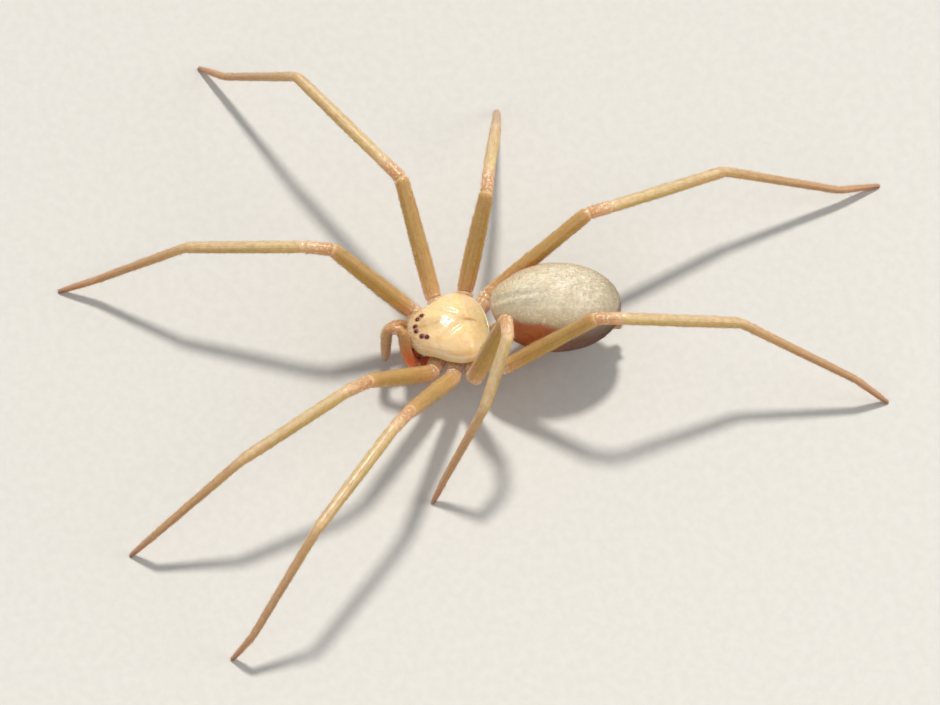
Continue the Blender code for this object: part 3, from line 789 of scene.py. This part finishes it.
def makeShield():
    t = shieldTones
    shield, (ahead, left, up) = makeBall(240, 150, shieldPlaces)
    forward, sideways, height = shieldAt(ahead, left, up)
    spread = np.hypot(ahead, left)
    top = up > 0
    narrow = np.interp(forward, t["markPlaces"], t["markWidths"])
    mark = (1 - smoothStep(np.abs(sideways), narrow * 0.6, narrow * 1.35)) * smoothStep(forward, -1.05, -0.85)
    mark = mark * (1 - smoothStep(forward, 1.45, 1.75)) * top
    stripe = t["stripe"] * bell(sideways, t["stripeWidth"]) * smoothStep(forward, 0.2, 0.5)
    middle, width = t["edgeAt"]
    edge = bell(spread - middle, width) * smoothStep(-forward, -1.3, 0.2) * top * t["edge"]
    middle, width = t["rimAt"]
    setValues(shield, {
        "shieldMark": np.clip(mark * t["mark"] + stripe * mark, 0, 1),
        # painted light: paler towards the front, reaching further back on the left side
        "paintedShieldFrontLight": smoothStep(forward + 0.5 * sideways, 1.3, 1.8) * t["front"],
        "shieldEdge": edge * (0.55 + 0.45 * np.sin(26 * np.arctan2(sideways, forward)) ** 2),
        "shieldRim": t["rim"] * bell(spread - middle, width) * top,
        # painted light: the steep sides near the margin paler and warmer
        "paintedShieldSideLight": 1 - smoothStep(up, 0.1, 0.35),
        "eyeStain": shieldStain(forward, sideways) * top * t["stain"],
    })
    finishPiece(shield, "shield", "shield", ["carapace"])

    dice = np.random.default_rng(11)
    weight = (up > 0.1) * (0.5 + 2.0 * (forward > 1.2) + 1.0 * (np.abs(sideways) < 0.25))
    roots, outward, corner = rootsOn(shield, shieldShape["hairs"], dice, weight)
    clear = np.ones(len(roots), bool)
    for spotAhead, spotLeft in eyeSpots():
        away = np.linalg.norm(roots[:, :2] - onBody(spotAhead, spotLeft, 0)[:2], axis=1)
        clear &= away > shieldShape["clearOfEyes"] * mm
    roots, outward, corner = roots[clear], outward[clear], corner[clear]
    count = len(roots)
    lean = leanTo((0.0, -1.0, 0.0), 0.35, count, dice)
    lean[:, 0] -= np.sign(sideways[corner]) * 0.35
    headward = forward[corner] > 1.3
    length = dice.uniform(0.1, 0.2, count) + headward * dice.uniform(0, 0.12, count)
    rise = np.where(headward, dice.uniform(0.4, 1.0, count), dice.uniform(0.2, 0.5, count))
    makeHairs("shieldHair", "paleHair", roots, outward, lean, length, shieldShape["hairWidth"],
              rise, skinSpots(shield, corner), {"hairShade": dice.random(count)})
    print("shield made")


def makeEyes():
    names = [f"eye_{side}_{number}" for side in ("middle", "left", "right") for number in (1, 2)]
    for name, (ahead, left) in zip(names, eyeSpots()):
        centre = onBody(ahead, left, shieldHeight(ahead, left) - eyeShape["sink"])
        clearSelection()
        bpy.ops.mesh.primitive_uv_sphere_add(
            segments=28, ring_count=18, radius=eyeShape["radius"] * mm, location=centre)
        bpy.ops.object.transform_apply(location=True, rotation=True, scale=True)
        bpy.ops.object.shade_smooth()
        finishPiece(bpy.context.object, name + "_lens", "eye", [name])
    print("eyes made")


# Underside: soft body wall, sternum, labium, waist
undersideShape = {
    "sternumCentre": (-0.15, 0.0, 1.84),
    "sternumHalf": (1.12, 0.7, 0.34),
    "sternumHeart": 0.2,
    "sternumScallop": 0.035,
    "labiumCentre": (0.98, 0.0, 1.72),
    "labiumHalf": (0.3, 0.2, 0.17),
    "wallCentre": (0.05, 0.0, 2.12),
    "wallHalf": (1.6, 1.28, 0.5),
    "wallUneven": (0.12, 0.03),
    "waistRoute": (
        (-1.2, 0.0, 2.0), (-1.5, 0.0, 2.0), (-1.7, 0.0, 2.04), (-1.88, 0.0, 2.1), (-2.15, 0.0, 2.22)),
    "waistRadii": (0.2, 0.24, 0.2, 0.25, 0.22),
    "hairs": (500, (0.1, 0.2), (0.3, 0.9), 0.009),  # number, lengths, rises, width
}


def flattened(up, power):
    return np.sign(up) * np.abs(up) ** power


def boxed(key, ahead, left, up):
    # unit places spread over one of the underside's centres and half sizes
    centre, half = (np.array(undersideShape[key + end])[:, None] for end in ("Centre", "Half"))
    return onBody(*(centre + half * np.stack((ahead, left, up))))


def makeUnderside():
    u = undersideShape

    def plateRule(ahead, left, up):
        scallop = 1 + u["sternumScallop"] * np.cos(8 * np.arctan2(left, ahead)) * np.hypot(ahead, left)
        return boxed("sternum", ahead, left * (1 + u["sternumHeart"] * ahead) * scallop, flattened(up, 0.6))

    def lipRule(ahead, left, up):
        return boxed("labium", ahead, left * (1 - 0.2 * ahead), up)

    def wallRule(ahead, left, up):
        places = boxed("wall", ahead, left, flattened(up, 0.7))
        return places + unitOf(places - places.mean(axis=0)) * unevenness(places, *u["wallUneven"])[:, None]

    sternum = makeBall(96, 48, plateRule)[0]
    finishPiece(sternum, "sternumPlate", "plate", ["sternum"])
    finishPiece(makeBall(40, 24, lipRule)[0], "labium", "plate")
    finishPiece(makeBall(80, 40, wallRule)[0], "bodyWall", "membrane")
    waist = makeTube(onBody(*np.array(u["waistRoute"]).T), np.array(u["waistRadii"]) * mm, 24)
    finishPiece(waist, "waist", "membrane", ["pedicel"])
    low = (placesOf(sternum)[:, 2] < 1.8 * mm) * 1.0
    makeCoat("sternumHair", sternum, 12, u["hairs"], low, (0.0, 1.0, 0.0), 0.4,
             lambda roots, corner: skinSpots(sternum, corner))
    print("underside made")


# Abdomen
abdomenShape = {
    "centre": (-4.2, 0.1, 3.05),
    "half": (2.85, 1.89, 1.79),
    "roll": 12.0,  # the marks on the back lean to the left by this
    "pitch": 7.0,
    "yaw": 5.0,
    "rearFullness": 0.06,
    "undercut": 0.75,
    # stretch, size and depth
    "uneven": (((1, 1, 1), 0.9, 0.02), ((1, 2.2, 1.4), 0.32, 0.01), ((1, 1, 1), 0.1, 0.003)),
    "fold": (0.42, 0.025, 0.05),  # before the lungs' end: place, width, depth
    "dimples": ((0.62, 0.2), (0.3, 0.26), (-0.05, 0.26), (-0.4, 0.2)),
    "dimpleDepth": 0.025,
    "dimpleWidth": 0.035,
    "lineAhead": (-1.0, -0.5, 0.0, 0.3, 0.7, 0.95),  # where the back ends and the painted shade of the flanks and belly begins
    "lineUp": (0.3, 0.46, 0.54, 0.6, 0.48, 0.3),
    "coats": 3,
    "hairs": 15000,
    "hairLengths": (0.09, 0.18),
    "hairWidth": 0.008,
}


def abdomenAt(ahead, left, up):
    a = abdomenShape
    halfF, halfL, halfZ = a["half"]
    cut = np.where((ahead > 0) & (up < 0.3), a["undercut"] * ahead ** 2 * np.minimum(0.3 - up, 1.0), 0)
    local = np.stack((halfF * ahead - cut, halfL * left * (1 - a["rearFullness"] * ahead), halfZ * up))
    yaw = Matrix.Rotation(-math.radians(a["yaw"]), 3, "Z")
    pitch = Matrix.Rotation(-math.radians(a["pitch"]), 3, "Y")
    return onBody(*(np.array(a["centre"])[:, None] + np.array(yaw @ pitch) @ local))


def abdomenRule(ahead, left, up):
    a = abdomenShape
    places = abdomenAt(ahead, left, up)
    outward = unitOf(places - onBody(*a["centre"]))
    relief = sum(unevenness(places * stretch, size, depth) for stretch, size, depth in a["uneven"])
    middle, width, depth = a["fold"]
    relief = relief - depth * mm * bell(ahead - middle, width) * smoothStep(-up, 0.35, 0.7)
    for spotAhead, spotLeft in a["dimples"]:
        near = np.hypot(ahead - spotAhead, np.abs(left) - spotLeft)
        relief = relief - a["dimpleDepth"] * mm * bell(near, a["dimpleWidth"]) * (up > 0)
    return places + outward * relief[:, None]


# the heart mark, and painted shade: the sides darker down to the line, the lower front flanks orange brown and
# the belly dark brown
def abdomenMarksAndShade(ahead, left, up):
    roll = math.radians(abdomenShape["roll"])
    middle = left * math.cos(roll) - up * math.sin(roll)
    line = np.interp(ahead, abdomenShape["lineAhead"], abdomenShape["lineUp"])
    under = smoothStep(line - up, -0.04, 0.12)
    heart = np.where(up > 0, smoothStep(ahead, -0.05, 0.5) * (1 - smoothStep(ahead, 0.9, 0.99)), 0)
    flank = smoothStep(ahead, -0.25, 0.35) * (1 - 0.8 * smoothStep(ahead, 0.7, 0.92))
    belly = (1 - 0.8 * smoothStep(ahead, 0.5, 0.92)) * (0.5 + 0.42 * smoothStep(line - up, 0.05, 0.5))
    return {
        "paintedSideShade": (1 - smoothStep(up - line, 0.0, 0.4)) * 0.7,
        "paintedFlankShade": under * flank * 0.9,
        "paintedBellyShade": under * belly,
        "heartDark": heart * bell(np.abs(middle) - 0.12, 0.08) * 0.45,
        "heartPale": heart * bell(middle, 0.035) * 0.5,
    }


def makeAbdomen():
    abdomen, (ahead, left, up) = makeBall(220, 130, abdomenRule)
    marksAndShade = abdomenMarksAndShade(ahead, left, up)
    setValues(abdomen, marksAndShade)
    finishPiece(abdomen, "abdomenBody", "abdomen", ["abdomen"])

    count = abdomenShape["hairs"]
    for number in range(abdomenShape["coats"]):
        dice = np.random.default_rng(130 + number)
        roots, outward, corner = rootsOn(abdomen, count, dice, 1.0 + 0.8 * smoothStep(-ahead, 0.2, 0.9))
        lean = leanTo((0.0, 1.0, -0.15), 0.2, count, dice)
        longer = 1 + 0.35 * smoothStep(-ahead[corner], 0.5, 1)
        length = dice.uniform(*abdomenShape["hairLengths"], count) * longer
        values = {key: value[corner] for key, value in marksAndShade.items()}
        values["hairShade"] = dice.random(count)
        rise = dice.uniform(0.1, 0.4, count) + 0.5 * (dice.random(count) > 0.96)
        makeHairs(f"abdomenHair_{number + 1}", "abdomenHair", roots, outward, lean, length,
                  abdomenShape["hairWidth"], rise, skinSpots(abdomen, corner), values)
    print("abdomen made")


# Spinnerets at the rear
spinneretShape = {
    "below": 34.0,
    "stand": 0.25,
    "baseRadius": 0.4,
    "baseLength": 0.2,
    "baseShares": (-2.2, -0.9, 0.0, 0.4, 0.75, 0.95, 1.0),
    "baseWidths": (1.0, 1.03, 1.0, 1.04, 0.95, 0.8, 0.5),
    "ring": 0.22,
    "splay": 0.35,
    "cones": ((38, 0.36, 0.13), (142, 0.36, 0.13), (218, 0.42, 0.145), (322, 0.42, 0.145), (270, 0.26, 0.09)),
    "coneShares": (0, 0.2, 0.42, 0.5, 0.55, 0.62, 0.8, 0.94, 1.0),
    "coneWidths": (1.05, 1.08, 1.02, 0.9, 0.8, 0.86, 0.78, 0.55, 0.25),
    "hairs": (700, (0.08, 0.2), (0.2, 0.7), 0.01),  # number, lengths, rises, width
}


def spokeTube(start, reach, shares, widths, radius, sides):
    points = np.array([start + reach * share for share in shares])
    return makeTube(points, np.array(widths) * radius * mm, sides)


def makeSpinnerets():
    s = spinneretShape
    low = math.radians(s["below"])
    one = np.ones(1)
    root = Vector(abdomenAt(-math.cos(low) * one, 0 * one, -math.sin(low) * one)[0])
    outward = (root - Vector(onBody(*abdomenShape["centre"]))).normalized()
    across = outward.cross(Vector((0, 0, 1))).normalized()
    upward = across.cross(outward)
    start = root + outward * s["stand"] * mm
    base = outward * s["baseLength"] * mm
    pieces = [spokeTube(start, base, s["baseShares"], s["baseWidths"], s["baseRadius"], 28)]
    for turn, length, radius in s["cones"]:
        angle = math.radians(turn)
        side = (across * math.cos(angle) + upward * math.sin(angle)) * s["ring"] * mm
        lean = (outward + side / mm * s["splay"]).normalized() * ((length + s["baseLength"] / 2) * mm)
        foot = start + side + base * 0.5
        pieces.append(spokeTube(foot, lean, s["coneShares"], s["coneWidths"], radius, 18))
    cluster = joinAll(pieces)
    finishPiece(cluster, "spinneretCluster", "spinneret", ["spinnerets"])

    def unwrap(roots, corner):
        spots = (roots - np.array(start)) / mm
        around = np.arctan2(spots @ np.array(upward), spots @ np.array(across)) / (2 * math.pi) + 0.5
        return np.c_[around, np.clip(spots @ np.array(outward), 0, 1)]

    makeCoat("spinneretHair", cluster, 14, s["hairs"], None, np.array(outward), 0.25, unwrap)
    print("spinnerets made")


# Jaws and fangs, for the left side
jawShape = {
    "route": ((1.64, 0.34, 2.52), (1.74, 0.35, 2.3), (1.83, 0.36, 2.0), (1.84, 0.35, 1.65),
              (1.76, 0.32, 1.32), (1.73, 0.31, 1.26)),
    "radii": (0.26, 0.31, 0.33, 0.29, 0.19, 0.12),
    "fangRoute": (
        (1.75, 0.31, 1.3), (1.74, 0.3, 1.2), (1.7, 0.25, 1.09), (1.65, 0.19, 1.02), (1.6, 0.14, 0.98)),
    "fangRadii": (0.11, 0.1, 0.07, 0.045, 0.014),
    "hairs": (420, (0.12, 0.3), (0.3, 0.9), 0.01),  # number, lengths, rises, width
}


def curvedTube(route, radii, sign, steps, sides):
    shares = np.linspace(0, 1, steps)
    points = np.stack([along(line, shares) for line in np.array(route).T]) * np.array((1, sign, 1))[:, None]
    return makeTube(onBody(*points), along(radii, shares) * mm, sides)


def makeJaws():
    j = jawShape
    for side, sign in (("left", 1), ("right", -1)):
        jaw = curvedTube(j["route"], j["radii"], sign, 42, 36)
        finishPiece(jaw, f"jaw_{side}", "jaw", [f"chelicera_{side}"])
        fang = curvedTube(j["fangRoute"], j["fangRadii"], sign, 24, 16)
        finishPiece(fang, f"fang_{side}_tooth", "fang", [f"fang_{side}"])
        high = placesOf(jaw)[:, 2]
        weight = (high < 2.42 * mm) * 1.0 + 1.5 * (high < 1.6 * mm)
        middle = onBody(1.75, 0.35 * sign, 0)

        def unwrap(roots, corner):
            away = (roots - middle) / mm
            around = np.arctan2(away[:, 0], away[:, 1]) / (2 * math.pi) + 0.5
            return np.c_[around, (roots[:, 2] / mm - 1.2) / 1.4]

        makeCoat(f"jawHair_{side}", jaw, 15 + sign, j["hairs"], weight, (0.0, -0.35, -1.0), 0.3, unwrap)
    print("jaws made")


# Legs and palps: one skin each, with the joints' folds and rims in its radius
limbShape = {
    "lengths": {1: (4.85, 1.2, 5.25, 4.95, 1.9), 2: (5.35, 1.25, 5.75, 5.6, 1.75),
                3: (4.6, 1.15, 3.15, 4.2, 1.35), 4: (5.6, 1.1, 5.5, 5.75, 1.9)},
    "coxaStart": {1: (0.72, 0.7, 1.88), 2: (0.22, 0.94, 1.88), 3: (-0.4, 0.94, 1.88), 4: (-0.95, 0.74, 1.88)},
    "poses": {  # the trochanter's end, headings of five segments, pitches of femur, patella, tibia and tarsus
        "leg_1_left": ((1.45, 1.6, 2.0), (31, 24, 19, 15, -2), (44, 13, -13, -53)),
        "leg_1_right": ((1.58, 1.62, 2.0), (28, 20, 20, 17, 13), (45, -3, -13, -32)),
        "leg_2_left": ((0.52, 2.0, 2.0), (52, 44, 44, 35, 1), (40, 15, -3, -60)),
        "leg_2_right": ((0.52, 2.0, 2.0), (83, 59, 63, 50, 55), (38, 4, -5, -32)),
        "leg_3_left": ((-0.35, 2.24, 2.0), (180, 82, 55, 26, 32), (73, 18, -38, -58)),
        "leg_3_right": ((-0.85, 2.1, 2.0), (121, 107, 108, 103, 102), (52, -3, -23, -49)),
        "leg_4_left": ((-1.64, 1.95, 1.98), (168, 164, 179, 155, 155), (46, 5, -21, -44)),
        "leg_4_right": ((-1.78, 1.74, 1.95), (163, 165, 166, 183, 172), (30, -16, -10, -20)),
    },
    "footHeight": 0.05,
    # marks: 0 coxa, 1 femur, 2 patella, 3 tibia, 4 metatarsus, 5 tarsus, 6 tip
    "radii": (
        (0, 0.3), (0.3, 0.34), (0.6, 0.36), (0.72, 0.35), (0.85, 0.355), (1, 0.34), (1.1, 0.37), (1.35, 0.38),
        (1.7, 0.35), (1.93, 0.31), (2, 0.29), (2.15, 0.265), (2.6, 0.26), (2.9, 0.27), (3.05, 0.25),
        (3.4, 0.255), (3.95, 0.235), (4.06, 0.2), (4.5, 0.18), (5, 0.16), (5.4, 0.145), (5.8, 0.12), (6, 0.095)),
    "femurShare": {1: 0.97, 2: 0.95, 3: 1.0, 4: 0.88},
    # depth and half width of the fold at each mark
    "joints": {0.7: (0.14, 0.06), 1: (0.15, 0.06), 2: (0.12, 0.06), 3: (0.08, 0.05), 4: (0.05, 0.045),
               5: (0.07, 0.04)},
    "palpRoute": {  # up to the knee, with each point's mark, then the tip
        "left": (((1.14, 0.4, 1.4), 0), ((1.47, 0.77, 1.44), 0.6), ((2.08, 0.95, 1.8), 1),
                 ((2.33, 0.5, 2.75), 1.6), ((2.24, 0.08, 3.42), 2), ((2.94, -0.2, 3.36), 3),
                 ((3.04, -0.04, 1.3), 6)),
        "right": (((1.14, -0.4, 1.4), 0), ((1.47, -0.77, 1.44), 0.6), ((1.94, -0.95, 1.86), 1),
                  ((2.35, -0.72, 2.62), 2), ((2.83, -0.73, 2.5), 3), ((2.93, -0.55, 0.25), 6)),
    },
    "palpEnd": (0.45, 0.455),  # shares of the way from knee to tip at marks 4 and 5
    "palpRadii": (
        (0, 0.07), (0.08, 0.15), (0.25, 0.22), (0.6, 0.25), (1, 0.24), (1.5, 0.24), (2, 0.22), (2.5, 0.215),
        (3, 0.21), (3.5, 0.22), (4, 0.21), (5, 0.2), (5.4, 0.205), (5.8, 0.16), (6, 0.09)),
    "palpJoints": {0.6: (0.14, 0.05), 1: (0.16, 0.05), 2: (0.14, 0.05), 3: (0.06, 0.045), 4: (0.08, 0.045)},
    "bendSoftness": {"leg": 0.15, "feeler": 0.3},
    "step": 0.035,
    "sides": 18,
    "hairsPerMillimetre": {"leg": 210, "feeler": 330},
    "hairLengths": ((0, 1, 2, 4, 5, 6), (0.1, 0.17, 0.17, 0.17, 0.15, 0.1)),  # marks, lengths
    "hairWidth": 0.0085,
    "erectOver": 0.965,  # of random numbers up to 1
    "claw": ((0.02, -0.05, 0.02), (0.028, 0.02, 0.035), (0.034, 0.07, 0.025), (0.036, 0.1, -0.005),
             (0.036, 0.11, -0.03)),  # beside, onward and up from the tip
    "clawRadii": (0.017, 0.016, 0.013, 0.009, 0.004),
    "clawHeight": 0.016,
}


def headed(heading, pitch):
    heading, pitch = math.radians(heading), math.radians(pitch)
    flat = math.cos(pitch)
    return np.array((flat * math.cos(heading), flat * math.sin(heading), math.sin(pitch)))


def legRoute(name):
    s = limbShape
    pair, sign = int(name[4]), 1 if name.endswith("left") else -1
    root, headings, (femur, patella, tibia, tarsus) = s["poses"][name]
    lengths = s["lengths"][pair]
    root = np.array(root)
    known = ((0, femur), (1, patella), (2, tibia), (4, tarsus))
    drop = root[2] - s["footHeight"] + sum(lengths[i] * math.sin(math.radians(p)) for i, p in known)
    metatarsus = -math.degrees(math.asin(drop / lengths[3]))  # brings the tip down to the floor
    route = [np.array(s["coxaStart"][pair]), root]
    for length, heading, pitch in zip(lengths, headings, (femur, patella, tibia, metatarsus, tarsus)):
        route.append(route[-1] + headed(heading, pitch) * length)
    return np.array(route) * (1, sign, 1)


def legRadii(name):
    s = limbShape
    share = s["femurShare"][int(name[4])]
    return [(mark, radius * (share if 1 < mark < 1.9 else 1)) for mark, radius in s["radii"]]


def palpRoute(side):
    s = limbShape
    points, marks = zip(*s["palpRoute"][side])
    knee, tip = np.array(points[-2]), np.array(points[-1])
    middle = [knee + (tip - knee) * share for share in s["palpEnd"]]
    return np.array([*points[:-1], *middle, tip]), (*marks[:-1], 4, 5, 6)


def followRoute(route, marks, radii, joints, softness):
    # even steps along the route with its bends softened: places, segment marks and radii
    step = limbShape["step"]
    far = np.r_[0, np.cumsum(np.linalg.norm(np.diff(route, axis=0), axis=1))]
    spots = np.linspace(0, far[-1], int(far[-1] / step))
    points = np.stack([np.interp(spots, far, line) for line in route.T], axis=1)
    reach = int(3 * softness / step)
    kernel = np.exp(-0.5 * (np.arange(-reach, reach + 1) * step / softness) ** 2)
    kernel /= kernel.sum()
    before = 2 * points[0] - points[reach:0:-1]
    after = 2 * points[-1] - points[-2:-reach - 2:-1]
    padded = np.concatenate((before, points, after))
    points = np.stack([np.convolve(line, kernel, "valid") for line in padded.T], axis=1)
    mark = np.interp(spots, far, marks)
    width = np.interp(mark, *np.array(radii).T)
    width = np.convolve(np.pad(width, 4, mode="edge"), np.ones(9) / 9, "valid")
    fold = np.zeros(len(spots))
    for joint, (depth, half) in joints.items():
        away = spots - np.interp(joint, marks, far)
        rims = bell(np.abs(away) - 2.2 * half, half)
        width = width * (1 - depth * bell(away, half) + 0.2 * depth * rims)
        fold = np.maximum(fold, bell(away, half) * min(1, depth / 0.12))
    onward = unitOf(points[-1] - points[-2])
    points = np.concatenate((points, points[-1] + onward * np.array(((0.025,), (0.045,), (0.055,)))))
    width = np.r_[width, width[-1] * np.array((0.9, 0.65, 0.3))]  # a rounded end
    return onBody(*points.T), np.r_[mark, 6, 6, 6], width * mm, np.r_[fold, 0, 0, 0]


def makeLimb(name, route, marks, radii, joints, replaced, seed, look):
    s, kind = limbShape, name.split("_")[0]
    softness = s["bendSoftness"][kind]
    points, mark, width, fold = followRoute(route, marks, radii, joints, softness)
    skin = makeTube(points, width, s["sides"])
    places = placesOf(skin)
    ahead = unitOf(np.gradient(points, axis=0))
    over = unitOf(np.array((0.0, 0.0, 1.0)) - ahead * ahead[:, 2:3])
    beside = np.cross(ahead, over)
    ring = valuesOf(skin, "ring").round().astype(int)
    outward = unitOf(places - points[ring])
    setValues(skin, {
        "limbPlace": mark[ring] / 6,
        "limbTop": np.sum(outward * over[ring], axis=1),
        "limbSide": np.sum(outward * beside[ring], axis=1),
        "limbFold": fold[ring],
    })
    places[:, 2] = np.maximum(places[:, 2], 0.001 * mm)
    setPlaces(skin, places)
    finishPiece(skin, name + "_skin", look, replaced)

    dice = np.random.default_rng(seed)
    length = np.linalg.norm(np.diff(points, axis=0), axis=1).sum() / mm
    count = int(length * s["hairsPerMillimetre"][kind])
    chance = width * np.where(mark < 0.35, 0.1, 1)
    for joint in joints:
        chance = chance * (1 - 0.95 * bell(mark - joint, 0.03))
    spot = dice.choice(len(points), size=count, p=chance / chance.sum())
    angle = dice.uniform(-math.pi, math.pi, count)
    outward = over[spot] * np.cos(angle)[:, None] + beside[spot] * np.sin(angle)[:, None]
    shift = ahead[spot] * dice.uniform(-0.5, 0.5, count)[:, None] * s["step"] * mm
    roots = points[spot] + outward * width[spot][:, None] + shift
    roots[:, 2] = np.maximum(roots[:, 2], 0.01 * mm)
    lean = ahead[spot] + beside[spot] * dice.normal(0, 0.25, count)[:, None]
    lean = lean + over[spot] * dice.normal(0, 0.2, count)[:, None]
    size = np.interp(mark[spot], *s["hairLengths"]) * dice.uniform(0.7, 1.35, count)
    erect = dice.random(count) > s["erectOver"]
    rise = np.where(erect, dice.uniform(0.8, 1.3, count), dice.uniform(0.15, 0.5, count))
    unwrap = np.c_[mark[spot] / 6, angle / (2 * math.pi) + 0.5]
    shade = dice.random(count) ** 1.5
    values = {"limbPlace": mark[spot] / 6, "limbTop": np.cos(angle) * 0.9, "hairShade": shade}
    makeHairs(name + "_hair", "limbHair", roots, outward, lean, size * np.where(erect, 1.25, 1.0),
              s["hairWidth"], rise, unwrap, values)
    return points[-4], ahead[-4], over[-4]


def makeClaw(end, onward, up, sign):
    s = limbShape
    beside = np.cross(onward, up) * sign
    curve = np.array([end + (beside * b + onward * o + up * u) * mm for b, o, u in s["claw"]])
    curve[:, 2] = np.maximum(curve[:, 2], s["clawHeight"] * mm)
    return makeTube(curve, np.array(s["clawRadii"]) * mm, 8)


def makeLegs():
    s = limbShape
    claws = []
    for number, name in enumerate(s["poses"]):
        parts = [f"{name}_{part}" for part in ("coxa", "femur", "patella", "tibia", "metatarsus")]
        tip = makeLimb(name, legRoute(name), range(7), legRadii(name), s["joints"], parts,
                       30 + number, "limb")
        claws += [makeClaw(*tip, sign) for sign in (1, -1)]
    finishPiece(joinAll(claws), "claws", "fang")
    print("legs made")


def makePalps():
    s = limbShape
    for number, side in enumerate(("left", "right")):
        name, parts = f"feeler_{side}", [f"palp_base_{side}", f"palp_{side}"]
        route, marks = palpRoute(side)
        makeLimb(name, route, marks, s["palpRadii"], s["palpJoints"], parts,
                 50 + number, name)
    print("palps made")


makeShield()
makeEyes()
makeUnderside()
makeAbdomen()
makeSpinnerets()
makeJaws()
makeLegs()
makePalps()
